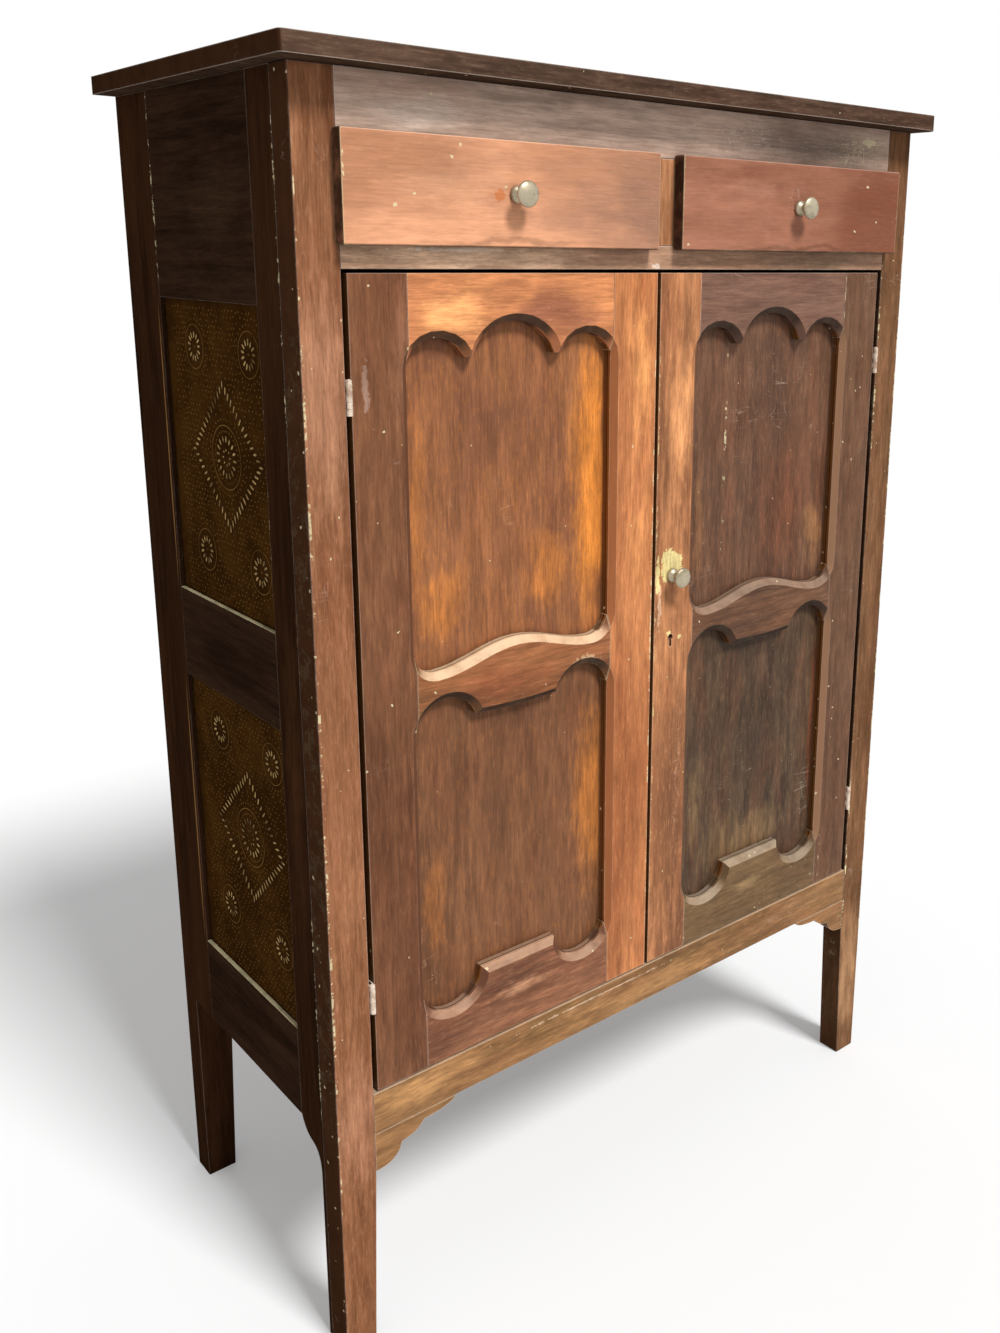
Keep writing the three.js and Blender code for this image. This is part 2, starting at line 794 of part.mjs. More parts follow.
// A round with a slot below it
function keyhole(y0, y1) {
  const round = new THREE.CylinderGeometry(keyholeRadius, keyholeRadius, y1 - y0, knobSides);
  const slot = box(-keySlotWidth / 2, keySlotWidth / 2, (y0 - y1) / 2, (y1 - y0) / 2, -keySlotLength, 0);
  return join(round, slot).translate(hardwareX, (y0 + y1) / 2, keyholeZ);
}

// The bottom rail's blank is higher in the middle, where the plateau stands
function bottomRailBlank(side, end) {
  const step = openingHalf - bowlHalfWidth;
  const horn = plateauHeight + plateauShoulder - hornTrim;
  const crest = plateauHeight + openingBevel + fit;
  const half = [point(end, 0), point(end, horn), point(step, horn), point(step, crest), point(0, crest)];
  const outline = [...half, ...mirrorToLeft(half)].map((p) => point(p.x + doorCentre, p.y + doorBottom));
  return frontBoard(mirrored(side, outline), doorFront, doorBack);
}

function buildDoor(side) {
  const cutters = doorCutters(side);
  const railEnd = sightHalf - fit;
  const rail = (z0, z1) => doorBoard(side, doorCentre - railEnd, doorCentre + railEnd, z0, z1);
  const topRail = rail(doorBottom + topSpringing + hornTrim, doorTop);
  const middleRail = rail(doorBottom + midRailLevel - bowlShoulder + hornTrim,
    doorBottom + ogeeSpringing - hornTrim);
  const hingeStile = doorBoard(side, doorLeft, doorLeft + stileWidth, doorBottom, doorTop);
  const meetingStile = doorBoard(side, doorRight - stileWidth, doorRight, doorBottom, doorTop);
  const hardwareCutters = side === "right"
    ? [doorKnobHole(), keyhole(doorFront - overrun, doorBack + overrun)]
    : [buttonHole()];
  add(`${side}_door_hinge_stile`, cut(hingeStile, cutters), "wood");
  add(`${side}_door_meeting_stile`, cut(meetingStile, [...cutters, ...hardwareCutters]), "wood");
  add(`${side}_door_top_rail`, cut(topRail, cutters), "wood");
  add(`${side}_door_middle_rail`, cut(middleRail, cutters), "wood");
  add(`${side}_door_bottom_rail`, cut(bottomRailBlank(side, railEnd), cutters), "wood");
  for (const [place, range] of Object.entries(panelRanges)) {
    const panel = panelBox(side, range, panelRebate - fit, panelFront, doorBack);
    add(`${side}_door_${place}_panel`, panel, "wood");
  }
  buildHinges(side);
}

// Hinges: the pin stands in the gap between post and door, a little proud of the face

const pinX = postWidth + hingeGap / 2;
const pinY = -hingeProud;
const knucklePitch = hingeHeight / knuckleCount;

function knuckle(x, z0) {
  const inner = pinRadius + pinPlay;
  const z1 = z0 + knucklePitch - knuckleGap;
  const ring = [[inner, z0], [knuckleRadius, z0], [knuckleRadius, z1], [inner, z1], [inner, z0]];
  return turned(ring, knuckleSides).translate(x, pinY, 0);
}

// One leaf with its knuckles. `toward` is -1 for the leaf on the post and 1 for the leaf on the door
function leaf(side, z0, toward, first) {
  const x = fromSide(side, pinX);
  const outer = pinX + toward * knuckleRadius;
  const inner = outer - toward * leafThickness;
  const start = pinY + knuckleRadius + leafPlay;
  const plate = sideBox(side, inner, outer, start, leafDepth, z0, z0 + hingeHeight - knuckleGap);
  const parts = [plate];
  for (let i = first; i < knuckleCount; i += 2) {
    const low = z0 + i * knucklePitch;
    parts.push(knuckle(x, low));
    const high = low + knucklePitch - knuckleGap;
    parts.push(sideBox(side, inner, outer, pinY, start + leafThickness, low, high));
  }
  return join(...parts);
}

function pin(side, z0) {
  const foot = z0 + knucklePitch / 2;
  const head = z0 + hingeHeight - knuckleGap;
  const profile = [
    [0, foot],
    [pinRadius, foot],
    [pinRadius, head],
    [pinHead, head],
    [pinHead, head + pinHeadHeight],
    [0, head + pinHeadHeight],
  ];
  return turned(profile, knuckleSides).translate(fromSide(side, pinX), pinY, 0);
}

// The pin is riveted into the lowest and the highest knuckle of the post's leaf
function postLeaf(side, z0) {
  const plug = disc(knuckleRadius - pinPlay, z0, z0 + knucklePitch / 2 + pinPlay, knuckleSides);
  return join(leaf(side, z0, -1, 0), pin(side, z0), plug.translate(fromSide(side, pinX), pinY, 0));
}

function buildHinges(side) {
  const heights = { lower: doorBottom + hingeInset, upper: doorTop - hingeInset - hingeHeight };
  for (const [place, z0] of Object.entries(heights)) {
    add(`${side}_${place}_post_leaf`, postLeaf(side, z0), "iron");
    add(`${side}_${place}_door_leaf`, leaf(side, z0, 1, 1), "iron");
  }
}

// Lock on the inside of the right door; its bolt runs towards the left door

const lockFront = doorBack + fit;
const lockBack = lockFront + lockThickness;
const lockEdge = caseWidth - doorRight;
const boltFront = (lockFront + lockBack - lockBoltThickness) / 2;

function lockCase() {
  const half = lockHeight / 2;
  const shell = box(lockEdge, lockEdge + lockWidth, lockFront, lockBack, keyholeZ - half, keyholeZ + half);
  const bolt = lockBoltHeight / 2 + slidePlay;
  const channel = box(lockEdge - overrun, lockEdge + lockWidth - lockWall,
    boltFront - slidePlay, boltFront + lockBoltThickness + slidePlay, keyholeZ - bolt, keyholeZ + bolt);
  return cut(shell, [channel, keyhole(lockFront - overrun, boltFront)]);
}

function lockBolt() {
  const half = lockBoltHeight / 2;
  return box(lockEdge, lockEdge + lockBoltLength,
    boltFront, boltFront + lockBoltThickness, keyholeZ - half, keyholeZ + half);
}

// Turn button, level at rest; turned upright, it stands behind the drawer rail and holds the left door

const buttonX = doorRight - buttonFromEdge;
const buttonZ = doorTop - buttonBelowTop;
const buttonFront = doorBack + fit;

function buttonHole() {
  const reach = buttonScrewLength + shankPlay;
  const hole = new THREE.CylinderGeometry(
    buttonScrewRadius + shankPlay, buttonScrewRadius + shankPlay, reach + overrun, knobSides);
  return hole.translate(buttonX, doorBack + (overrun - reach) / 2, buttonZ);
}

function turnButton() {
  const radius = buttonWidth / 2;
  const straight = buttonLength / 2 - radius;
  const outline = [
    ...arc(straight, 0, radius, radius, -Math.PI / 2, Math.PI / 2, curveSteps),
    ...arc(-straight, 0, radius, radius, Math.PI / 2, 1.5 * Math.PI, curveSteps),
  ].map((p) => point(p.x + buttonX, p.y + buttonZ));
  const back = buttonFront + buttonThickness;
  const profile = [
    [0, -buttonScrewLength],
    [buttonScrewRadius, -buttonScrewLength],
    [buttonScrewRadius, back - doorBack],
    [buttonScrewHeadRadius, back - doorBack],
    [buttonScrewRadius, back - doorBack + buttonScrewHeadHeight],
    [0, back - doorBack + buttonScrewHeadHeight],
  ];
  const screw = turned(profile, knobSides).rotateX(-Math.PI / 2).translate(buttonX, doorBack, buttonZ);
  return join(frontBoard(outline, buttonFront, back), screw);
}

buildCase();
buildDrawer("left");
buildDrawer("right");
buildDoor("left");
buildDoor("right");
add("right_door_knob", knob(hardwareX, doorFront, doorKnobZ), "brass");
add("lock_case", lockCase(), "iron");
add("lock_bolt", lockBolt(), "brass");
add("turn_button", turnButton(), "inside");

// The origin lies under the middle of the whole object's box
const knobFront = lipProud + fit + knobProjection;
const frontMost = Math.max(knobFront, topOverhangFront);
safe.position.x = -(caseWidth + topOverhangRight - topOverhangLeft) / 2;
safe.position.y = -(caseDepth + topOverhangBack - frontMost) / 2;

export default safe;
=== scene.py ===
"""Looks for a pie safe: worn varnished wood, punched tins, tarnished knobs and iron hinges.

X runs to the right, Y to the back and Z up from the floor, in metres. Sizes of pieces are written
in millimetres, counted as the joiner does: from the case's left face, its front face and the floor.
"""
import logging
import math
import random
from dataclasses import dataclass, field, replace
from enum import Enum
from typing import Iterable, Optional, Sequence, Union

import bmesh
import bpy
from mathutils import Matrix, Vector


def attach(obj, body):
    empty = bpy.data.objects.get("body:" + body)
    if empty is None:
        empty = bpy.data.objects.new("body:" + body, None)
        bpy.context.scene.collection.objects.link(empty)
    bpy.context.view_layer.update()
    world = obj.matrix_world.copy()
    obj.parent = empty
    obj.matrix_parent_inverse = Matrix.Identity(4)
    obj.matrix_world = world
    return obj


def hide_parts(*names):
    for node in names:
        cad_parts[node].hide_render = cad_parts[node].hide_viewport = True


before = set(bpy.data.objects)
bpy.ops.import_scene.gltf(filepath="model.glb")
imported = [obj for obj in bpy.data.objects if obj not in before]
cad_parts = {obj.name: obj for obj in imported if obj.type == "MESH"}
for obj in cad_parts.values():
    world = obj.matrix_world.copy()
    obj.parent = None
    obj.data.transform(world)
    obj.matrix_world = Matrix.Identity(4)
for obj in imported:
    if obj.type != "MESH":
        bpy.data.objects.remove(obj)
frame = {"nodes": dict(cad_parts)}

log = logging.getLogger("pie_safe")

MM = 0.001  # metres in a millimetre
CASE_LEFT = 494.0  # from the case's left face to the middle of the frame
CASE_FRONT = 206.35  # from the case's front face to the middle of the frame
CASE_WIDTH = 1000.0
FAR = 50.0  # metres past everything, for a patch without an end along an axis
WELD_REACH = 0.02  # corners closer than this, in millimetres, are one corner
SHARP_TURN = 32  # edges that turn by more degrees than this are rounded
OWN_STRETCH = (7.3, 3.1, 11.9)  # how far apart, in metres, the grain of two boards can be read
REDDER = (0.86, 0.74, 0.72)  # what the reddest streaks keep of the varnish's red, green and blue
SCUFFED_TO, SCUFFED_BY = 238, 0.45  # the level that scuffing pales worn wood towards, and how far
SCRATCH_SHOWS, RUB_SHOWS, FLECK_SHOWS = 0.55, 0.75, 0.75  # how much of each mark shows on wood
FLECK_SCALE = 85.0  # how close the flecks are, as their frequency in each metre

Swatch = tuple[int, int, int]
Colour = tuple[float, float, float]
Point = tuple[float, float, float]
Socket = bpy.types.NodeSocket
Feed = Union[float, Sequence[float], Socket]


def place(x: float, y: float, z: float) -> Vector:
    """Turns a place on the case into the frame.

    Args:
        x: Millimetres from the case's left face.
        y: Millimetres from its front face.
        z: Millimetres from the floor.

    Returns:
        The same place in metres.
    """
    return Vector(((x - CASE_LEFT) * MM, (y - CASE_FRONT) * MM, z * MM))


def paint(red: int, green: int, blue: int) -> Colour:
    """Turns a colour as the eye names it into the linear one that shaders take.

    Args:
        red: Its red, from 0 to 255.
        green: Its green.
        blue: Its blue.

    Returns:
        The linear colour.
    """
    return tuple(
        c / 12.92 if c <= 0.04045 else ((c + 0.055) / 1.055) ** 2.4
        for c in (red / 255, green / 255, blue / 255)
    )


class Side(Enum):
    """The left or the right half of the safe."""

    LEFT = "left"
    RIGHT = "right"

    def x(self, from_edge: float) -> float:
        """Counts a place from this side's end of the case, and gives it from the left face."""
        return from_edge if self is Side.LEFT else CASE_WIDTH - from_edge


class Run(Enum):
    """The way a board's grain runs, as the order of the axes that lays it along Z."""

    UPRIGHT = (0, 1, 2)
    LEVEL = (2, 1, 0)
    DEEP = (0, 2, 1)

    @property
    def along(self) -> int:
        """Gives the number of the axis that the grain follows."""
        return self.value[2]


class Tone(Enum):
    """What age has done to a stretch of varnish, and the tones of light and shade painted on some
    stretches.
    """

    DARK = "dark"
    RED = "red"
    WORN = "worn"
    PALE = "pale"
    CREAM = "cream"
    ORANGE = "orange"
    # dirt, and painted shade where a patch stands for a shadow
    GRIME = "grime"


class Mark(Enum):
    """How the border of a patch looks."""

    SOFT = "soft"
    RAGGED = "ragged"
    CRISP = "crisp"
    SCRATCHED = "scratched"
    CHIPPED = "chipped"


class Wiring:
    """Adds nodes to one node tree and wires them together."""

    def __init__(self, tree: bpy.types.NodeTree) -> None:
        """Starts on a tree."""
        self.tree = tree

    def add(self, kind: str, **options: object) -> bpy.types.Node:
        """Adds a node.

        Args:
            kind: The node's type name.
            options: Properties to set on it.

        Returns:
            The new node.
        """
        node = self.tree.nodes.new(kind)
        for name, value in options.items():
            setattr(node, name, value)
        return node

    def feed(self, socket: Socket, value: Feed) -> None:
        """Wires a socket to another, or sets its plain value.

        Args:
            socket: The input.
            value: The output that it reads, or the value that it keeps.
        """
        if isinstance(value, bpy.types.NodeSocket):
            self.tree.links.new(value, socket)
        elif isinstance(value, (int, float)):
            socket.default_value = value
        else:
            value = tuple(value)
            wide = len(socket.default_value)
            socket.default_value = value + (1.0,) * (wide - len(value))

    def maths(self, operation: str, *values: Feed, clamp: bool = False) -> Socket:
        """Does a sum on numbers.

        Args:
            operation: The Math node's operation.
            values: Its inputs in order.
            clamp: Whether the result stays within 0 and 1.

        Returns:
            The result's socket.
        """
        node = self.add("ShaderNodeMath", operation=operation, use_clamp=clamp)
        for socket, value in zip(node.inputs, values):
            self.feed(socket, value)
        return node.outputs[0]

    def vector(self, operation: str, *values: Feed) -> Socket:
        """Does a sum on vectors.

        Args:
            operation: The Vector Math node's operation.
            values: Its inputs in order.

        Returns:
            The resulting vector's socket, or the number's for a length or a dot product.
        """
        node = self.add("ShaderNodeVectorMath", operation=operation)
        for socket, value in zip(node.inputs, values):
            self.feed(socket, value)
        number = operation in ("LENGTH", "DOT_PRODUCT", "DISTANCE")
        return node.outputs["Value" if number else "Vector"]

    def span(self, value: Feed, low: Feed, high: Feed, to_low: Feed = 0.0,
             to_high: Feed = 1.0) -> Socket:
        """Maps a number from one span to another with soft ends.

        Args:
            value: The number.
            low: Where the first span starts.
            high: Where it ends.
            to_low: What low becomes.
            to_high: What high becomes.

        Returns:
            The mapped number's socket.
        """
        node = self.add("ShaderNodeMapRange", interpolation_type="SMOOTHSTEP")
        for socket, item in zip(node.inputs, (value, low, high, to_low, to_high)):
            self.feed(socket, item)
        return node.outputs[0]

    def blend(self, share: Feed, first: Feed, second: Feed) -> Socket:
        """Mixes two colours.

        Args:
            share: How much of the second shows.
            first: The colour below.
            second: The colour above.

        Returns:
            The mixed colour's socket.
        """
        node = self.add("ShaderNodeMix", data_type="RGBA", blend_type="MIX", clamp_factor=True)
        self.feed(node.inputs[0], share)
        self.feed(node.inputs[6], first)
        self.feed(node.inputs[7], second)
        return node.outputs[2]

    def noise(self, vector: Feed, scale: float, detail: float = 3.0, rough: float = 0.5,
              twist: float = 0.0) -> Socket:
        """Adds noise.

        Args:
            vector: Where it is read.
            scale: Its frequency in each metre.
            detail: How many finer layers it has.
            rough: How strong those layers are.
            twist: How far it is drawn about.

        Returns:
            The noise's number.
        """
        node = self.add("ShaderNodeTexNoise")
        for name, value in (("Vector", vector), ("Scale", scale), ("Detail", detail),
                            ("Roughness", rough), ("Distortion", twist)):
            self.feed(node.inputs[name], value)
        return node.outputs[0]

    def stretched(self, vector: Feed, stretch: Point, detail: float, rough: float = 0.5,
                  twist: float = 0.0) -> Socket:
        """Adds noise with a frequency of its own along each axis.

        Args:
            vector: Where it is read.
            stretch: Its frequencies in each metre.
            detail: How many finer layers it has.
            rough: How strong those layers are.
            twist: How far it is drawn about.

        Returns:
            The noise's number.
        """
        return self.noise(self.vector("MULTIPLY", vector, stretch), 1.0, detail, rough, twist)

    def wobble(self, vector: Feed, scale: float, detail: float, reach: Point) -> Socket:
        """Draws coordinates about.

        Args:
            vector: The coordinates.
            scale: The frequency of the noise that draws them.
            detail: How many finer layers it has.
            reach: How far it draws along each axis, in metres.

        Returns:
            The ragged coordinates.
        """
        node = self.add("ShaderNodeTexNoise")
        for name, value in (("Vector", vector), ("Scale", scale), ("Detail", detail)):
            self.feed(node.inputs[name], value)
        centred = self.vector("SUBTRACT", node.outputs["Color"], (0.5, 0.5, 0.5))
        return self.vector("ADD", vector, self.vector("MULTIPLY", centred, reach))

    def swing(self, value: Feed, reach: Feed) -> Socket:
        """Centres a number between 0 and 1 on zero, and scales it.

        Args:
            value: The number.
            reach: What it is multiplied by.

        Returns:
            The result's socket.
        """
        return self.maths("MULTIPLY", self.maths("SUBTRACT", value, 0.5), reach)

    def mixed(self, first: Feed, first_share: float, second: Feed, second_share: float) -> Socket:
        """Adds two numbers by their shares.

        Args:
            first: One number.
            first_share: What it is multiplied by.
            second: The other number.
            second_share: What that one is multiplied by.

        Returns:
            The sum's socket.
        """
        return self.maths("ADD", self.maths("MULTIPLY", first, first_share),
                          self.maths("MULTIPLY", second, second_share))

    def tint(self, colour: Feed, tone: Feed, mask: Feed, strength: Feed) -> Socket:
        """Lays a tone over a colour where a mask says so.

        Args:
            colour: The colour below.
            tone: The tone.
            mask: Where it lies.
            strength: How much of it shows there.

        Returns:
            The new colour's socket.
        """
        return self.blend(self.maths("MULTIPLY", mask, strength), colour, tone)

    def axes(self, vector: Feed) -> tuple[Socket, ...]:
        """Splits a vector.

        Args:
            vector: The vector.

        Returns:
            The sockets of its X, Y and Z.
        """
        node = self.add("ShaderNodeSeparateXYZ")
        self.feed(node.inputs[0], vector)
        return tuple(node.outputs)

    def scaled(self, vector: Feed, share: Feed) -> Socket:
        """Scales a vector.

        Args:
            vector: The vector.
            share: What it is multiplied by.

        Returns:
            The result's socket.
        """
        result = self.vector("SCALE", vector)
        self.feed(result.node.inputs["Scale"], share)
        return result

    def seen(self) -> Socket:
        """Tells what the camera sees from the light that falls.

        Returns:
            A number that is 1 for rays from the camera, mirrored and refracted ones too.
        """
        path = self.add("ShaderNodeLightPath")
        seen = self.maths("MAXIMUM", path.outputs["Is Camera Ray"], path.outputs["Is Glossy Ray"])
        return self.maths("MAXIMUM", seen, path.outputs["Is Transmission Ray"])

    def bump(self, shader: bpy.types.Node, height: Socket, strength: float, reach: float) -> None:
        """Raises a surface.

        Args:
            shader: Its shader.
            height: How high each place stands.
            strength: How much of that shows.
            reach: The height of 1, in metres.
        """
        node = self.add("ShaderNodeBump")
        for name, value in (("Strength", strength), ("Distance", reach), ("Height", height)):
            self.feed(node.inputs[name], value)
        self.feed(shader.inputs["Normal"], node.outputs[0])

    def use(self, group: bpy.types.NodeTree, **values: Feed) -> bpy.types.Node:
        """Places a node group.

        Args:
            group: The group.
            values: Its inputs by name.

        Returns:
            The group's node.
        """
        node = self.add("ShaderNodeGroup", node_tree=group)
        for name, value in values.items():
            self.feed(node.inputs[name], value)
        return node

    def mask(self, group: bpy.types.NodeTree, **values: Feed) -> Socket:
        """Places a node group and gives the mask that it puts out."""
        return self.use(group, **values).outputs["Mask"]


def new_material(name: str) -> tuple[bpy.types.Material, Wiring, bpy.types.Node]:
    """Starts a material.

    Args:
        name: Its name.

    Returns:
        The material, its wiring and its shader.
    """
    material = bpy.data.materials.new(name)
    material.use_nodes = True
    return material, Wiring(material.node_tree), material.node_tree.nodes["Principled BSDF"]


class Effects:
    """The shader node groups that several finishes share. Each is built once."""

    def __init__(self) -> None:
        """Builds every group."""
        self.grain = self._grain()
        self.patch = self._patch()
        self.wear = self._wear()
        self.grime = self._grime()
        self.scratches = self._scratches()
        self.specks = self._specks()

    @staticmethod
    def _start(name: str, inputs: Sequence[tuple[str, str]],
               outputs: Sequence[str]) -> tuple[Wiring, bpy.types.Node, bpy.types.Node]:
        """Makes an empty group.

        Args:
            name: The group's name.
            inputs: Its inputs as name and kind, where the kind is Float or Vector.
            outputs: The names of the numbers that it puts out.

        Returns:
            The wiring of the group, its input node and its output node.
        """
        tree = bpy.data.node_groups.new(name, "ShaderNodeTree")
        for label, kind in inputs:
            tree.interface.new_socket(name=label, in_out="INPUT", socket_type="NodeSocket" + kind)
        for label in outputs:
            tree.interface.new_socket(name=label, in_out="OUTPUT", socket_type="NodeSocketFloat")
        wiring = Wiring(tree)
        return wiring, wiring.add("NodeGroupInput"), wiring.add("NodeGroupOutput")

    def _grain(self) -> bpy.types.NodeTree:
        """Builds wood grain along Z.

        Returns:
            A group that puts out broad streaks, growth lines, fibres, pores and the height.
        """
        w, given, result = self._start(
            "wood grain", [("Vector", "Vector"), ("Figure", "Float")],
            ["Streak", "Line", "Fine", "Pore", "Height"])
        at = given.outputs["Vector"]
        drift = w.swing(w.stretched(at, (3.0, 3.0, 1.6), 2.0), given.outputs["Figure"])
        aside = w.add("ShaderNodeCombineXYZ")
        w.feed(aside.inputs[0], drift)
        w.feed(aside.inputs[1], drift)
        at = w.vector("ADD", at, aside.outputs[0])
        broad = w.stretched(at, (24.0, 24.0, 1.6), 5.0, 0.66)
        middle = w.stretched(at, (120.0, 120.0, 9.0), 4.0, 0.66)
        streak = w.span(w.mixed(broad, 0.6, middle, 0.4), 0.32, 0.66)
        rings = w.stretched(at, (5.0, 5.0, 0.5), 1.0, 0.4)
        wave = w.maths("SINE", w.maths("MULTIPLY", rings, 150.0))
        line = w.maths("MULTIPLY", w.span(wave, 0.2, 1.0), w.span(broad, 0.35, 0.7))
        fine = w.stretched(at, (420.0, 420.0, 26.0), 4.0, 0.72)
        pore = w.span(w.stretched(at, (900.0, 900.0, 75.0), 2.0, 0.6), 0.56, 0.70)
        height = w.maths("SUBTRACT", w.maths("MULTIPLY", fine, 0.7), w.maths("MULTIPLY", pore, 0.5))
        height = w.maths("ADD", height, w.maths("MULTIPLY", line, -0.25))
        for name, value in (("Streak", streak), ("Line", line), ("Fine", fine), ("Pore", pore),
                            ("Height", height)):
            w.feed(result.inputs[name], value)
        return w.tree

    def _patch(self) -> bpy.types.NodeTree:
        """Builds one soft-edged patch.

        Returns:
            A group whose mask is 1 at the centre and 0 past the reach along each axis.
        """
        w, given, result = self._start(
            "soft patch", [("Vector", "Vector"), ("Centre", "Vector"), ("Reach", "Vector"),
                           ("Soft", "Float")], ["Mask"])
        off = w.vector("SUBTRACT", given.outputs["Vector"], given.outputs["Centre"])
        far = w.vector("LENGTH", w.vector("DIVIDE", off, given.outputs["Reach"]))
        start = w.maths("SUBTRACT", 1.0, given.outputs["Soft"])
        w.feed(result.inputs["Mask"], w.span(far, start, 1.0, 1.0, 0.0))
        return w.tree

    def _wear(self) -> bpy.types.NodeTree:
        """Builds the rubbed look of edges.

        Returns:
            A group whose mask is 1 along rubbed edges, broken up by noise.
        """
        w, given, result = self._start(
            "edge wear", [("Vector", "Vector"), ("Radius", "Float"), ("Amount", "Float")], ["Mask"])
        bevel = w.add("ShaderNodeBevel", samples=4)
        w.feed(bevel.inputs["Radius"], given.outputs["Radius"])
        flat = w.add("ShaderNodeNewGeometry").outputs["Normal"]
        turn = w.maths("SUBTRACT", 1.0, w.vector("DOT_PRODUCT", bevel.outputs[0], flat))
        broken = w.noise(given.outputs["Vector"], 34.0, 6.0, 0.7)
        gate = w.maths("ADD", w.swing(broken, 0.9),
                       w.maths("SUBTRACT", given.outputs["Amount"], 0.5))
        mask = w.span(w.maths("ADD", w.maths("MULTIPLY", turn, 2.6), gate), 0.12, 0.42)
        on_edge = w.span(turn, 0.012, 0.05)
        w.feed(result.inputs["Mask"], w.maths("MULTIPLY", mask, on_edge, clamp=True))
        return w.tree

    def _grime(self) -> bpy.types.NodeTree:
        """Builds the darkening in corners, in gaps and under ledges: dirt, and painted shade from
        ambient occlusion.

        Returns:
            A group whose mask is 1 where corners are deepest.
        """
        w, given, result = self._start(
            "corner grime", [("Vector", "Vector"), ("Reach", "Float")], ["Mask"])
        hollow = w.add("ShaderNodeAmbientOcclusion", samples=4)
        w.feed(hollow.inputs["Distance"], given.outputs["Reach"])
        broken = w.noise(given.outputs["Vector"], 60.0, 5.0, 0.7)
        open_sky = w.maths("ADD", hollow.outputs["AO"], w.swing(broken, 0.35))
        w.feed(result.inputs["Mask"], w.span(open_sky, 0.15, 0.82, 1.0, 0.0))
        return w.tree

    def _scratches(self) -> bpy.types.NodeTree:
        """Builds fine scratches.

        Returns:
            A group whose mask is 1 in thin broken lines, more of them as the amount rises.
        """
        w, given, result = self._start(
            "scratches", [("Vector", "Vector"), ("Amount", "Float")], ["Mask"])
        at = given.outputs["Vector"]
        lines = []
        for stretch in ((5.0, 5.0, 46.0), (38.0, 30.0, 9.0), (14.0, 12.0, 40.0)):
            bent = w.stretched(at, stretch, 2.0, 0.5, 0.6)
            near = w.maths("ABSOLUTE", w.maths("SUBTRACT", bent, 0.5))
            lines.append(w.span(near, 0.0, 0.006, 1.0, 0.0))
        thin = w.maths("MAXIMUM", w.maths("MAXIMUM", lines[0], lines[1]), lines[2])
        cloud = w.noise(at, 11.0, 4.0, 0.65)
        gate = w.span(w.maths("ADD", cloud, given.outputs["Amount"]), 0.72, 0.86)
        w.feed(result.inputs["Mask"], w.maths("MULTIPLY", thin, gate))
        return w.tree

    def _specks(self) -> bpy.types.NodeTree:
        """Builds chips and flecks.

        Returns:
            A group whose mask is 1 in small scattered flecks of uneven size.
        """
        w, given, result = self._start(
            "flecks", [("Vector", "Vector"), ("Scale", "Float"), ("Amount", "Float")], ["Mask"])
        cells = w.add("ShaderNodeTexVoronoi")
        w.feed(cells.inputs["Vector"],
               w.wobble(given.outputs["Vector"], 160.0, 2.0, (0.006, 0.006, 0.006)))
        w.feed(cells.inputs["Scale"], given.outputs["Scale"])
        chance = w.add("ShaderNodeSeparateColor")
        w.feed(chance.inputs[0], cells.outputs["Color"])
        kept = w.maths("GREATER_THAN", given.outputs["Amount"], chance.outputs[0])
        size = w.maths("MULTIPLY", chance.outputs[1], 0.16)
        near = w.maths("LESS_THAN", cells.outputs["Distance"], w.maths("ADD", size, 0.03))
        w.feed(result.inputs["Mask"], w.maths("MULTIPLY", kept, near))
        return w.tree


@dataclass(frozen=True)
class Palette:
    """The colours of one board's old varnish, from its dirt to bare wood, with the colours that
    paint shade.
    """

    dark: Colour
    body: Colour
    red: Colour
    worn: Colour
    pale: Colour
    cream: Colour = paint(226, 212, 168)
    orange: Colour = paint(198, 106, 44)
    # dirt, and the colour of painted shade in grooves, in corners and on faces that turn away
    grime: Colour = paint(44, 29, 20)
    # painted shade on faces that look down
    underside_shade: Colour = paint(88, 75, 54)
    # painted shade on the upright walls of the doors' openings
    wall_shade: Colour = paint(128, 80, 34)

    def of(self, tone: Tone) -> Colour:
        """Gives the colour of a tone."""
        return getattr(self, tone.value)


def stain(dark: Swatch, body: Swatch, worn: Swatch, red: Optional[Swatch] = None,
          pale: Optional[Swatch] = None) -> Palette:
    """Mixes a board's palette.

    Args:
        dark: Its darkest varnish, also used for painted shade on the openings' walls and moulding
            and for painted shadows.
        body: The varnish that covers most of it.
        worn: Varnish rubbed thin.
        red: Its reddest streaks, or none to work them out.
        pale: Bare scuffed wood, or none to work it out.

    Returns:
        The palette.
    """
    red = red or tuple(int(c * kept) for c, kept in zip(body, REDDER))
    pale = pale or tuple(int(c + (SCUFFED_TO - c) * SCUFFED_BY) for c in worn)
    return Palette(*(paint(*c) for c in (dark, body, red, worn, pale)))


# The side's varnish, darkened well past the front's as painted shade. Its orange is lighter and
# paints the light that falls on the tin openings' rear walls.
SHADED_FLANK = replace(stain((36, 21, 12), (62, 38, 23), (92, 60, 36)), orange=paint(150, 110, 66))


class Face(Enum):
    """The face of the case that patches lie on."""

    FRONT = "front"
    SIDE = "side"
    TOP = "top"


@dataclass(frozen=True)
class Patch:
    """A stretch of a face where the varnish has another tone, or where light and shade are painted,
    in the joiner's millimetres.
    """

    tone: Tone
    across: float
    height: float
    half_across: float
    half_height: float
    strength: float = 0.8
    soft: float = 1.0
    mark: Mark = Mark.SOFT

    def lie(self, face: Face) -> tuple[Vector, Point]:
        """Says where the patch lies.

        Args:
            face: The face that it lies on.

        Returns:
            Its centre and its reach along each axis, in metres.
        """
        across, height = self.half_across * MM, self.half_height * MM
        if face is Face.FRONT:
            return place(self.across, 0.0, self.height), (across, FAR, height)
        if face is Face.SIDE:
            return place(0.0, self.across, self.height), (FAR, across, height)
        return place(self.across, self.height, 0.0), (across, height, FAR)


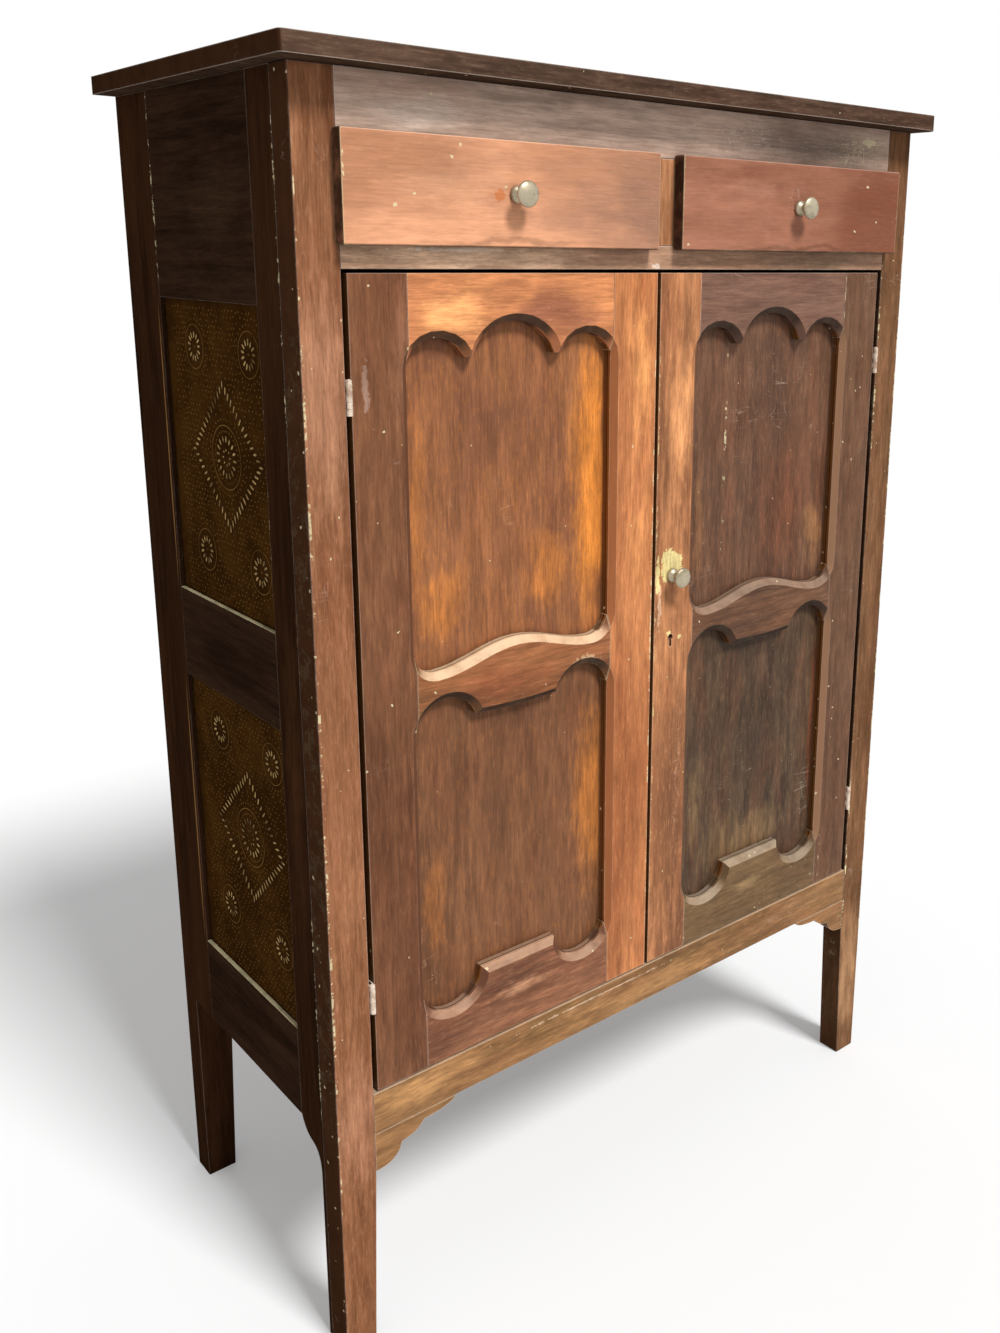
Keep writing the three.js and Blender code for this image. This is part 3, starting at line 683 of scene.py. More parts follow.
def chips(across: float, height: float, half_across: float, half_height: float, strength: float,
          tone: Tone = Tone.CREAM) -> Patch:
    """Lists chips along an edge.

    Args:
        across: Where they lie across the face.
        height: Their middle above the floor.
        half_across: Half the width that they cover.
        half_height: Half the height that they cover.
        strength: How much of the tone shows.
        tone: Their tone.

    Returns:
        Their patch.
    """
    return Patch(tone, across, height, half_across, half_height, strength, 0.3, Mark.CHIPPED)


@dataclass(frozen=True)
class Opening:
    """The doors' openings in metres, counted from the frame's middle and from the floor."""

    aside: float = 0.22
    half_width: float = 0.178
    height: float = 0.844
    half_height: float = 0.48


OPENING = Opening()


@dataclass(frozen=True)
class WoodFinish:
    """Varnished or bare wood with grain, patches, wear, scratches and flecks, and light and shade
    painted by the way each face turns.

    Attributes:
        name: The material's name.
        palette: The board's colours.
        run: The way its grain runs.
        patches: Where its tone differs.
        face: The face that the patches lie on.
        figure: How far the grain wanders, in metres.
        streaks: How much of the shading follows the grain, and not clouds.
        lines: How dark the growth lines are.
        mottle: How much red shows through.
        fibre: How strongly fibres and pores show.
        gloss: The roughness of the shiniest varnish.
        dull: The roughness of the dullest.
        shine: How strongly the surface mirrors.
        wear: How much of its edges is rubbed.
        wear_radius: How wide they are rubbed, in millimetres.
        wear_tone: The tone of what is rubbed.
        ledges: How strongly the faces that look up are paled, with dust and painted highlight.
        ledge_tone: The tone of that dust and painted highlight.
        smoke: How dark the drifting stains are.
        under: How strongly the faces that look down are darkened as painted shade.
        sides: How strongly the faces that turn away from the front are darkened as painted shade.
        cheeks: How strongly the faces that look left or right take the side's dark varnish, as
            painted shade.
        walls: How strongly the upright walls of an opening are darkened as painted shade.
        cant: How strongly the slanted moulding beside those walls takes its tone, as painted light
            and shade.
        cant_tone: The moulding's tone: a dark one paints shade, a light one paints light.
        uneven: How far the lightness drifts.
        flicker: How strong the short streaks are.
        quirk: The depth of the painted shadow line in the groove round an opening, in millimetres
            behind the case's front; faces behind it get painted shade too.
        corner_darkening: How much corners and gaps darken, with dirt and painted shade.
        scratches: How many scratches there are.
        flecks: How many flecks of old paint there are.
        relief: How deep the grain is.
    """

    name: str
    palette: Palette
    run: Run
    patches: tuple[Patch, ...] = ()
    face: Face = Face.FRONT
    figure: float = 0.008
    streaks: float = 0.6
    lines: float = 0.12
    mottle: float = 0.35
    fibre: float = 0.32
    gloss: float = 0.36
    dull: float = 0.56
    shine: float = 0.12
    wear: float = 0.4
    wear_radius: float = 2.0
    wear_tone: Tone = Tone.PALE
    ledges: float = 0.5
    ledge_tone: Tone = Tone.PALE
    smoke: float = 0.35
    under: float = 0.6
    sides: float = 0.0
    cheeks: float = 0.0
    walls: float = 0.0
    cant: float = 0.85
    cant_tone: Tone = Tone.DARK
    uneven: float = 0.18
    flicker: float = 0.22
    quirk: float = 0.0
    corner_darkening: float = 0.6
    scratches: float = 0.11
    flecks: float = 0.06
    relief: float = 0.10

    def _grain_vector(self, w: Wiring) -> tuple[Socket, Socket]:
        """Turns the grain along the board and gives each board a stretch of its own.

        Args:
            w: The material's wiring.

        Returns:
            The board's own coordinates, and those turned so that the grain runs along Z.
        """
        own = w.add("ShaderNodeTexCoord").outputs["Object"]
        parts = w.axes(own)
        along = w.add("ShaderNodeCombineXYZ")
        for slot, axis in enumerate(self.run.value):
            w.feed(along.inputs[slot], parts[axis])
        chance = w.add("ShaderNodeObjectInfo").outputs["Random"]
        return own, w.vector("ADD", along.outputs[0], w.scaled(OWN_STRETCH, chance))

    def _patch_mask(self, w: Wiring, effects: Effects, item: Patch, where: Socket,
                    mottled: Socket) -> Socket:
        """Wires the mask of one patch.

        Args:
            w: The material's wiring.
            effects: The shared groups.
            item: The patch.
            where: The coordinates that its place is read from.
            mottled: Short streaks, which break the patch up.

        Returns:
            The mask's socket.
        """
        centre, reach = item.lie(self.face)
        mask = w.mask(effects.patch, Vector=where, Centre=centre, Reach=reach, Soft=item.soft)
        if item.mark is Mark.RAGGED:
            torn = w.maths("ADD", mask, w.swing(w.noise(where, 85.0, 6.0, 0.75), 2.6))
            mask = w.maths("MULTIPLY", w.span(torn, 0.62, 0.74), w.span(mask, 0.0, 0.2))
        elif item.mark is Mark.CHIPPED:
            size = w.noise(where, 46.0, 3.0, 0.6)
            fine = w.noise(where, 230.0, 3.0, 0.6)
            kept = w.mixed(size, 0.6, fine, 0.4)
            mask = w.maths("MULTIPLY", w.span(mask, 0.0, 0.3), w.span(kept, 0.525, 0.57))
        elif item.mark is Mark.SCRATCHED:
            denser = w.vector("MULTIPLY", where, (1.6, 1.6, 2.2))
            mask = w.maths("MULTIPLY", mask, w.mask(effects.scratches, Vector=denser, Amount=0.6))
        elif item.mark is Mark.SOFT:
            broken = w.maths("MULTIPLY", w.swing(mottled, 1.3), w.span(mask, 0.0, 0.3))
            mask = w.span(w.maths("ADD", mask, broken), 0.05, 1.15)
        return w.maths("MULTIPLY", mask, item.strength)

    def _patched(self, w: Wiring, effects: Effects, own: Socket, mottled: Socket,
                 colour: Socket) -> Socket:
        """Lays every patch on the outside.

        Args:
            w: The material's wiring.
            effects: The shared groups.
            own: The board's own coordinates.
            mottled: Short streaks, which break the patches up.
            colour: The colour so far.

        Returns:
            The new colour.
        """
        ragged = w.wobble(own, 14.0, 4.0,
                          tuple(0.14 if axis == self.run.along else 0.04 for axis in range(3)))
        backward = w.axes(w.add("ShaderNodeTexCoord").outputs["Normal"])[1]
        outside = w.span(backward, 0.7, 0.2)
        for item in self.patches:
            where = ragged if item.mark is Mark.SOFT else own
            mask = self._patch_mask(w, effects, item, where, mottled)
            if item.mark is not Mark.CRISP:
                mask = w.maths("MULTIPLY", mask, outside)
            colour = w.blend(mask, colour, self.palette.of(item.tone))
        return colour

    def _quirk_line(self, w: Wiring, own: Socket, level: Socket) -> Socket:
        """Paints shade round the doors' openings: a dark line in the moulding's groove, and lighter
        shade on the faces behind it.

        Args:
            w: The material's wiring.
            own: The board's own coordinates.
            level: How squarely a face looks to the front or the back.

        Returns:
            The mask of that painted shade.
        """
        x, y, z = w.axes(own)
        depth = w.maths("SUBTRACT", y, (self.quirk - CASE_FRONT) * MM)
        line = w.span(w.maths("ABSOLUTE", depth), 0.0004, 0.0014, 0.95, 0.0)
        line = w.maths("MAXIMUM", line, w.span(depth, 0.0, 0.001, 0.0, 0.35))
        line = w.maths("MULTIPLY", line, w.span(level, 0.7, 0.4))
        aside = w.maths("SUBTRACT", w.maths("ABSOLUTE", x), OPENING.aside)
        within = w.maths("LESS_THAN", w.maths("ABSOLUTE", aside), OPENING.half_width)
        above = w.maths("SUBTRACT", z, OPENING.height)
        between = w.maths("LESS_THAN", w.maths("ABSOLUTE", above), OPENING.half_height)
        return w.maths("MULTIPLY", w.maths("MULTIPLY", line, within), between)

    def _slopes(self, w: Wiring, effects: Effects, own: Socket, colour: Socket) -> Socket:
        """Tones each face by the way it turns: dust and painted highlight on faces that look up,
        painted shade on faces that look down or aside, on the openings' walls and moulding and in
        the groove round them, and dirt with painted shade in corners.

        Args:
            w: The material's wiring.
            effects: The shared groups.
            own: The board's own coordinates.
            colour: The colour so far.

        Returns:
            The new colour.
        """
        tones = self.palette
        sideways, backward, upward = w.axes(w.add("ShaderNodeTexCoord").outputs["Normal"])
        across, level = w.maths("ABSOLUTE", sideways), w.maths("ABSOLUTE", backward)
        # Noise that makes the dust, the painted highlight and the painted shade below patchy.
        patchiness = w.span(w.noise(own, 40.0, 4.0, 0.6), 0.25, 0.6, 0.55, 1.0)
        # Faces that look up are paled: dust, and painted highlight.
        if self.ledges:
            ledge = w.maths("MULTIPLY", w.span(upward, 0.25, 0.75), patchiness)
            colour = w.tint(colour, tones.of(self.ledge_tone), ledge, self.ledges)
        # Faces that look down are darkened: painted shade.
        below = w.span(upward, -0.05, -0.5, 0.0, self.under)
        colour = w.blend(below, colour, w.blend(patchiness, tones.underside_shade, tones.grime))
        # Faces that look left or right take the side's dark varnish: painted shade.
        if self.cheeks:
            cheek = w.span(across, 0.35, 0.75, 0.0, self.cheeks)
            colour = w.blend(cheek, colour, w.blend(patchiness, SHADED_FLANK.dark, SHADED_FLANK.body))
        # The openings' upright walls are darkened as painted shade; the slanted moulding beside
        # them takes the cant tone as painted light and shade.
        if self.walls:
            wall = w.span(across, 0.7, 0.9, 0.0, self.walls)
            colour = w.blend(wall, colour, w.blend(patchiness, tones.dark, tones.wall_shade))
            canted = w.maths("MULTIPLY", w.span(across, 0.4, 0.55), w.span(across, 0.85, 0.75))
            colour = w.tint(colour, tones.of(self.cant_tone), canted, self.cant)
        # Faces that turn away from the front are darkened: painted shade.
        if self.sides:
            colour = w.tint(colour, tones.grime, w.span(level, 0.75, 0.35, 0.0, self.sides), patchiness)
        # The groove line round the openings, and the faces behind it, are darkened: painted shade.
        if self.quirk:
            colour = w.blend(self._quirk_line(w, own, level), colour, tones.grime)
        # Corners and gaps darken by ambient occlusion: dirt, and painted shade.
        dirt = w.mask(effects.grime, Vector=own, Reach=0.014)
        if self.ledges:
            dirt = w.maths("MULTIPLY", dirt, w.span(upward, 0.2, 0.6, 1.0, 0.35))
        if self.walls:
            dirt = w.maths("MULTIPLY", dirt, w.span(sideways, -0.5, -0.85, 1.0, 0.5))
        return w.tint(colour, tones.grime, dirt, self.corner_darkening)

    def _varnish(self, w: Wiring, along: Socket, streak: Socket) -> Socket:
        """Mixes the varnish, with its clouds of red and its drifting stains.

        Args:
            w: The material's wiring.
            along: Coordinates along the grain.
            streak: The grain's broad streaks.

        Returns:
            The varnish's colour.
        """
        tones = self.palette
        cloud = w.span(w.stretched(along, (7.0, 7.0, 2.2), 5.0, 0.6), 0.3, 0.7)
        shade = w.mixed(streak, self.streaks, cloud, 1.0 - self.streaks)
        colour = w.blend(w.span(shade, 0.05, 0.85), tones.dark, tones.body)
        blot = w.stretched(along, (30.0, 30.0, 7.0), 4.0, 0.6)
        colour = w.tint(colour, tones.red, w.span(blot, 0.4, 0.7), self.mottle)
        drift = w.stretched(along, (17.0, 17.0, 5.0), 6.0, 0.68, 0.4)
        return w.tint(colour, tones.dark, w.span(drift, 0.50, 0.72), self.smoke)

    def build(self, effects: Effects) -> bpy.types.Material:
        """Builds the material.

        Args:
            effects: The shared groups.

        Returns:
            The finished material.
        """
        material, w, shader = new_material(self.name)
        tones = self.palette
        own, along = self._grain_vector(w)
        grain = w.use(effects.grain, Vector=along, Figure=self.figure)
        streak, line, fine, pore, height = (
            grain.outputs[name] for name in ("Streak", "Line", "Fine", "Pore", "Height"))
        short = w.stretched(along, (270.0, 270.0, 60.0), 4.0, 0.7)
        middling = w.stretched(along, (84.0, 84.0, 16.0), 4.0, 0.6)
        colour = self._varnish(w, along, streak)
        colour = self._patched(w, effects, own, w.mixed(short, 0.35, middling, 0.65), colour)

        colour = w.tint(colour, tones.worn, w.span(short, 0.5, 0.7), self.flicker)
        colour = w.tint(colour, tones.dark, w.span(short, 0.49, 0.32), self.flicker)
        colour = w.tint(colour, tones.dark, line, self.lines)
        ripple = 0.62 * self.fibre
        shade = w.maths("MULTIPLY", w.span(fine, 0.28, 0.72, 1.0 - ripple, 1.0 + ripple),
                        w.span(middling, 0.3, 0.7, 1.0 - self.uneven, 1.0 + self.uneven))
        colour = w.tint(w.scaled(colour, shade), tones.dark, pore, self.fibre)
        colour = self._slopes(w, effects, own, colour)

        scratch = w.mask(effects.scratches, Vector=along, Amount=self.scratches)
        colour = w.tint(colour, tones.pale, scratch, SCRATCH_SHOWS)
        rub = w.mask(effects.wear, Vector=own, Radius=self.wear_radius * MM, Amount=self.wear)
        colour = w.tint(colour, tones.of(self.wear_tone), rub, RUB_SHOWS)
        fleck = w.mask(effects.specks, Vector=own, Scale=FLECK_SCALE, Amount=self.flecks)
        colour = w.tint(colour, tones.cream, fleck, FLECK_SHOWS)
        w.feed(shader.inputs["Base Color"], colour)

        rough = w.span(w.noise(own, 9.0, 5.0, 0.6), 0.3, 0.7, self.gloss, self.dull)
        bare = w.maths("MULTIPLY", w.maths("MAXIMUM", rub, fleck), 0.2)
        rough = w.maths("ADD", rough, bare)
        rough = w.maths("ADD", rough, w.maths("MULTIPLY", pore, 0.12), clamp=True)
        w.feed(shader.inputs["Roughness"], rough)
        w.feed(shader.inputs["Specular IOR Level"], self.shine)

        dents = w.noise(own, 26.0, 3.0, 0.5)
        lift = w.mixed(height, self.relief, dents, 0.9)
        lift = w.maths("SUBTRACT", lift, w.maths("MULTIPLY", scratch, 0.05))
        w.bump(shader, lift, 0.55, 0.0016)
        return material


@dataclass(frozen=True)
class MetalFinish:
    """Old metal with tarnish, spots and rubbed edges.

    Attributes:
        name: The material's name.
        bright: The colour of rubbed metal.
        tarnish: The colour of its skin.
        spots: The colour of its rust or dirt.
        metallic: How far it is metal, and not paint.
        gloss: The roughness where it is smoothest.
        dull: The roughness where it is dullest.
        tarnished: How much of it the skin covers.
        spotted: How strong the spots are.
        scale: How fine the tarnish is, as its frequency in each metre.
        wear: How much of its edges is rubbed.
        wear_radius: How wide they are rubbed, in millimetres.
        relief: How deep the skin is.
        shine: How strongly the surface mirrors.
    """

    name: str
    bright: Colour
    tarnish: Colour
    spots: Colour
    metallic: float = 0.85
    gloss: float = 0.30
    dull: float = 0.60
    tarnished: float = 0.5
    spotted: float = 0.3
    scale: float = 60.0
    wear: float = 0.4
    wear_radius: float = 1.2
    relief: float = 0.5
    shine: float = 0.5

    def build(self, effects: Effects) -> bpy.types.Material:
        """Builds the material.

        Args:
            effects: The shared groups.

        Returns:
            The finished material.
        """
        material, w, shader = new_material(self.name)
        own = w.add("ShaderNodeTexCoord").outputs["Object"]
        cloud = w.noise(own, self.scale, 5.0, 0.62)
        fine = w.noise(own, self.scale * 7.0, 4.0, 0.65)
        covered = 0.36 * self.tarnished
        skin = w.span(w.mixed(cloud, 0.7, fine, 0.3), 0.62 - covered, 0.80 - covered)
        rub = w.mask(effects.wear, Vector=own, Radius=self.wear_radius * MM, Amount=self.wear)
        skin = w.maths("MULTIPLY", skin, w.maths("SUBTRACT", 1.0, w.maths("MULTIPLY", rub, 0.7)))
        colour = w.blend(skin, self.bright, self.tarnish)
        blot = w.noise(own, self.scale * 2.3, 4.0, 0.7)
        spot = w.maths("MULTIPLY", w.span(blot, 0.56, 0.68), self.spotted)
        colour = w.blend(spot, colour, self.spots)
        scratch = w.mask(effects.scratches, Vector=own, Amount=0.12)
        w.feed(shader.inputs["Base Color"], w.tint(colour, self.bright, scratch, 0.4))
        rough = w.maths("ADD", w.span(fine, 0.3, 0.7, self.gloss, self.dull),
                        w.maths("MULTIPLY", skin, 0.12), clamp=True)
        w.feed(shader.inputs["Roughness"], rough)
        if self.metallic:
            bare = w.maths("SUBTRACT", 1.0, w.maths("MULTIPLY", spot, 0.8))
            w.feed(shader.inputs["Metallic"], w.maths("MULTIPLY", bare, self.metallic))
        else:
            w.feed(shader.inputs["Metallic"], 0.0)
        w.feed(shader.inputs["Specular IOR Level"], self.shine)
        height = w.maths("MULTIPLY", w.maths("ADD", fine, skin), self.relief)
        w.bump(shader, height, 0.4, 0.0006)
        return material


@dataclass(frozen=True)
class StudioFinish:
    """A plain matt surface of the studio, which the camera may see a little lighter."""

    name: str
    colour: Colour
    glow: float

    def build(self) -> bpy.types.Material:
        """Builds the material.

        Returns:
            The finished material.
        """
        material, w, shader = new_material(self.name)
        own = w.add("ShaderNodeTexCoord").outputs["Object"]
        w.feed(shader.inputs["Base Color"], self.colour)
        w.feed(shader.inputs["Roughness"], w.span(w.noise(own, 3.0), 0.3, 0.7, 0.85, 0.95))
        w.feed(shader.inputs["Specular IOR Level"], 0.0)
        w.feed(shader.inputs["Emission Color"], (1.0, 1.0, 1.0))
        w.feed(shader.inputs["Emission Strength"], w.maths("MULTIPLY", w.seen(), self.glow))
        return material


LEFT_HINGE = stain((94, 58, 37), (126, 83, 56), (154, 106, 78))
LEFT_TOP = stain((178, 112, 74), (214, 140, 90), (252, 178, 114), red=(148, 92, 68))
LEFT_MEET = stain((150, 90, 54), (198, 128, 80), (236, 162, 98))
LEFT_UPPER = stain((116, 74, 54), (154, 100, 63), (222, 136, 58), red=(134, 80, 52))
# Its pale is light: scuffed wood, and the painted highlight on its ledge.
LEFT_MIDDLE = stain((104, 68, 42), (164, 104, 66), (190, 128, 84), red=(142, 78, 50),
                    pale=(234, 202, 164))
LEFT_LOWER = stain((96, 63, 43), (127, 85, 57), (182, 112, 54))
LEFT_BOTTOM = stain((90, 56, 40), (146, 98, 70), (198, 146, 110), pale=(212, 176, 146))
RIGHT_MEET = replace(stain((110, 70, 46), (192, 130, 86), (244, 170, 112)),
                     cream=paint(232, 214, 148))
RIGHT_TOP = stain((104, 74, 60), (128, 94, 78), (150, 116, 96))
RIGHT_UPPER = stain((78, 54, 42), (114, 81, 61), (160, 112, 72), red=(116, 68, 46))
RIGHT_MIDDLE = stain((78, 54, 40), (120, 84, 60), (156, 116, 84), pale=(188, 158, 134))
RIGHT_LOWER = stain((60, 45, 34), (93, 72, 54), (134, 106, 72), red=(108, 62, 42))
RIGHT_BOTTOM = stain((84, 62, 40), (124, 96, 64), (166, 134, 92))
RIGHT_HINGE = stain((80, 52, 34), (114, 82, 60), (150, 112, 84))
LEFT_DRAWER = stain((184, 128, 94), (232, 166, 126), (250, 190, 150), red=(148, 108, 88))
RIGHT_DRAWER = stain((128, 78, 56), (166, 112, 88), (196, 142, 116), red=(118, 66, 44))
# The frieze's varnish, lightened past the wood's own colour as painted light that lifts it out of
# the top board's shadow.
LIGHTENED_FRIEZE = stain((166, 138, 122), (216, 186, 166), (240, 218, 200), red=(188, 146, 122))
LEFT_POST = stain((112, 70, 46), (160, 110, 78), (202, 148, 116))
RIGHT_POST = stain((92, 66, 46), (134, 96, 68), (166, 126, 92))
# The drawer rail's varnish, lightened past the wood's own colour as painted light that lifts it out
# of the drawer fronts' shadow.
LIGHTENED_RAIL = stain((144, 110, 86), (194, 152, 122), (236, 196, 162))
PLINTH = stain((104, 74, 42), (156, 114, 74), (204, 152, 98))
DIVIDER = stain((150, 100, 66), (208, 148, 104), (232, 176, 130))
# The side rails' varnish, darkened the same way as painted shade, with the same orange.
SHADED_FLANK_RAIL = replace(stain((34, 22, 15), (60, 41, 29), (88, 64, 46)), orange=paint(150, 110, 66))
CROWN = stain((58, 42, 34), (96, 74, 60), (150, 122, 98))
INNER = stain((104, 72, 46), (158, 118, 78), (186, 148, 104))

FRIEZE_PATCHES = (
    Patch(Tone.GRIME, 800, 1500, 280, 70, 0.7),
    # darker along the top, under the top board's overhang
    Patch(Tone.GRIME, 330, 1526, 400, 16, 0.4),
    Patch(Tone.WORN, 150, 1500, 130, 30, 0.6),
    Patch(Tone.CREAM, 880, 1500, 90, 34, 1.0, mark=Mark.SCRATCHED),
    Patch(Tone.CREAM, 905, 1512, 44, 12, 0.7, mark=Mark.RAGGED),
    Patch(Tone.PALE, 620, 1500, 160, 30, 0.6, mark=Mark.SCRATCHED),
)
LEFT_POST_PATCHES = (
    Patch(Tone.WORN, 25, 1200, 60, 240, 0.45),
    Patch(Tone.DARK, 25, 820, 60, 190, 0.4),
    Patch(Tone.WORN, 25, 330, 60, 150, 0.4),
    Patch(Tone.DARK, 48, 900, 5, 560, 0.5),
    chips(1.5, 800, 2.4, 700, 0.8),
)
RIGHT_POST_PATCHES = (
    Patch(Tone.DARK, 975, 330, 60, 90, 0.5),
    Patch(Tone.WORN, 975, 150, 60, 170, 1.0),
    chips(952, 400, 2.4, 230, 0.9),
    chips(951.5, 1180, 2.0, 200, 0.8),
    chips(998.5, 800, 1.6, 700, 0.6),
)
RAIL_PATCHES = (
    Patch(Tone.WORN, 200, 1350, 260, 30, 0.8),
    Patch(Tone.PALE, 180, 1357, 160, 5, 0.6, mark=Mark.RAGGED),
    Patch(Tone.PALE, 490, 1340, 16, 8, 0.8, mark=Mark.RAGGED),
    Patch(Tone.GRIME, 800, 1350, 240, 34, 0.5),
)
PLINTH_PATCHES = (
    Patch(Tone.WORN, 130, 335, 130, 34, 0.7),
    Patch(Tone.WORN, 520, 320, 280, 30, 0.4),
    Patch(Tone.PALE, 400, 342, 260, 4, 0.6, mark=Mark.RAGGED),
    Patch(Tone.PALE, 800, 330, 120, 14, 0.6, mark=Mark.SCRATCHED),
    Patch(Tone.DARK, 320, 320, 120, 12, 0.4),
)
LEFT_HINGE_PATCHES = (
    Patch(Tone.DARK, 80, 700, 40, 300, 0.4),
    Patch(Tone.WORN, 120, 1250, 24, 120, 0.5),
    Patch(Tone.PALE, 75, 1212, 9, 60, 0.35, mark=Mark.RAGGED),
)
LEFT_TOP_PATCHES = (
    Patch(Tone.WORN, 185, 1290, 66, 50, 0.85),
    Patch(Tone.RED, 335, 1290, 106, 60, 1.0),
    Patch(Tone.DARK, 250, 1312, 26, 40, 0.4),
)
LEFT_MEET_PATCHES = (
    Patch(Tone.WORN, 470, 1220, 34, 130, 0.8),
    Patch(Tone.DARK, 440, 1050, 12, 200, 0.35),
    Patch(Tone.DARK, 461, 610, 70, 280, 1.0),
    Patch(Tone.WORN, 470, 980, 40, 100, 0.4),
    chips(496.5, 860, 1.6, 480, 0.8),
)
LEFT_UPPER_PATCHES = (
    Patch(Tone.DARK, 262, 1160, 104, 105, 0.85),
    Patch(Tone.DARK, 205, 1090, 34, 90, 0.55),
    Patch(Tone.DARK, 270, 1000, 46, 80, 0.4),
    Patch(Tone.WORN, 147, 1060, 22, 230, 0.3),
    Patch(Tone.WORN, 408, 1060, 54, 300, 1.0, soft=0.9),
    Patch(Tone.WORN, 176, 940, 60, 60, 0.5),
    Patch(Tone.WORN, 335, 960, 60, 70, 0.5),
)
LEFT_MIDDLE_PATCHES = (
    Patch(Tone.RED, 250, 846, 110, 30, 0.6),
    Patch(Tone.DARK, 180, 822, 50, 24, 0.6),
    Patch(Tone.PALE, 385, 842, 40, 20, 0.4, mark=Mark.RAGGED),
)
LEFT_LOWER_PATCHES = (
    Patch(Tone.DARK, 252, 665, 44, 160, 0.8),
    Patch(Tone.DARK, 330, 590, 30, 120, 0.5),
    Patch(Tone.WORN, 408, 640, 48, 220, 0.95, soft=0.9),
    Patch(Tone.WORN, 160, 560, 26, 140, 0.35),
    # painted shade below the middle rail
    Patch(Tone.DARK, 290, 770, 140, 24, 0.5),
)
LEFT_BOTTOM_PATCHES = (
    Patch(Tone.DARK, 150, 385, 90, 40, 0.7),
    Patch(Tone.WORN, 277, 414, 84, 18, 0.8),
)
RIGHT_MEET_PATCHES = (
    Patch(Tone.WORN, 545, 1150, 36, 180, 0.7),
    # a painted shadow below the knob
    Patch(Tone.DARK, 538, 893, 20, 26, 0.6),
    Patch(Tone.PALE, 512, 890, 8, 80, 0.5, mark=Mark.RAGGED),
    Patch(Tone.CREAM, 532, 944, 36, 40, 1.0, mark=Mark.RAGGED, soft=0.7),
    Patch(Tone.CREAM, 508, 938, 7, 48, 0.9, mark=Mark.RAGGED, soft=0.7),
    Patch(Tone.CREAM, 530, 850, 10, 9, 0.9, mark=Mark.RAGGED),
    Patch(Tone.CREAM, 551, 843, 12, 7, 0.9, mark=Mark.RAGGED),
    Patch(Tone.DARK, 538, 600, 70, 260, 0.95),
    Patch(Tone.DARK, 519, 1110, 9, 120, 0.6),
    Patch(Tone.DARK, 545, 1270, 26, 46, 0.45),
    Patch(Tone.PALE, 552, 640, 10, 190, 0.5, mark=Mark.SCRATCHED),
    chips(504.5, 860, 1.4, 440, 0.6),
)
RIGHT_UPPER_PATCHES = (
    Patch(Tone.RED, 780, 1000, 120, 160, 0.6),
    # painted shade below the scallops
    Patch(Tone.DARK, 740, 1230, 160, 60, 0.6),
    chips(649, 1057, 2.4, 190, 0.7),
    Patch(Tone.WORN, 845, 940, 36, 70, 0.7),
    Patch(Tone.DARK, 745, 1140, 90, 110, 0.6),
    Patch(Tone.WORN, 600, 1000, 18, 160, 0.5),
)
RIGHT_LOWER_PATCHES = (
    Patch(Tone.WORN, 720, 490, 150, 70, 0.6),
    Patch(Tone.RED, 868, 620, 16, 190, 0.9, soft=0.5),
    # painted shade below the middle rail
    Patch(Tone.DARK, 720, 790, 170, 36, 0.7),
    Patch(Tone.DARK, 720, 650, 110, 150, 0.6),
    Patch(Tone.WORN, 610, 560, 24, 120, 0.4),
)
RIGHT_SEAMS = (
    chips(870.5, 1300, 1.3, 54, 0.9),
    chips(565, 1310, 1.2, 40, 0.6, Tone.PALE),
    chips(880, 400, 1.3, 44, 0.7),
)
RIGHT_BOTTOM_PATCHES = (
    Patch(Tone.WORN, 722, 414, 84, 20, 0.7),
    Patch(Tone.DARK, 850, 390, 80, 40, 0.5),
    Patch(Tone.PALE, 880, 376, 40, 14, 0.5, mark=Mark.RAGGED),
)
LEFT_DRAWER_PATCHES = (
    Patch(Tone.WORN, 180, 1424, 130, 34, 0.25),
    Patch(Tone.RED, 480, 1406, 250, 150, 0.95),
    Patch(Tone.GRIME, 262, 1364, 220, 7, 0.4),
    # a painted shadow below the knob
    Patch(Tone.GRIME, 275, 1398, 16, 12, 0.25),
    Patch(Tone.ORANGE, 239, 1415, 13, 15, 0.6, mark=Mark.RAGGED, soft=0.9),
    chips(46.9, 1418, 1.2, 56, 1.0),
)
RIGHT_DRAWER_PATCHES = (
    chips(521.6, 1418, 1.0, 56, 0.9),
    Patch(Tone.WORN, 640, 1440, 110, 22, 0.3),
    Patch(Tone.RED, 920, 1412, 230, 150, 0.95),
    Patch(Tone.DARK, 900, 1390, 90, 40, 0.55),
    Patch(Tone.GRIME, 740, 1364, 220, 7, 0.4),
)

STILE_PATCHES = (
    # Lighter strips on the rear walls of the tin openings: painted light where the light falls on
    # them.
    Patch(Tone.ORANGE, 366.6, 1112, 2.0, 200, 0.9, soft=0.3, mark=Mark.CRISP),
    Patch(Tone.ORANGE, 366.6, 616, 2.0, 210, 0.9, soft=0.3, mark=Mark.CRISP),
    chips(360.5, 1430, 1.6, 120, 0.8),
    chips(93, 1120, 1.2, 150, 0.5),
    chips(39.5, 1330, 1.8, 190, 0.85),
    chips(39.5, 1010, 2.0, 150, 0.8, Tone.WORN),
    chips(39.5, 470, 1.8, 160, 0.7),
    Patch(Tone.WORN, 66, 800, 30, 300, 0.3),
    Patch(Tone.DARK, 390, 900, 40, 500, 0.5),
)
SIDE_PATCHES = (
    chips(359, 1380, 1.6, 70, 0.7),
    Patch(Tone.WORN, 180, 1400, 120, 90, 0.25),
    Patch(Tone.DARK, 220, 870, 160, 60, 0.6),
)
BACK_PATCHES = (
    Patch(Tone.DARK, 162, 850, 112, 6000, 0.35, soft=0.02, mark=Mark.CRISP),
    Patch(Tone.WORN, 612, 850, 112, 6000, 0.4, soft=0.02, mark=Mark.CRISP),
    *(Patch(Tone.DARK, seam, 850, 2.2, 6000, 1.0, soft=0.6, mark=Mark.CRISP)
      for seam in (275, 500, 725)),
)

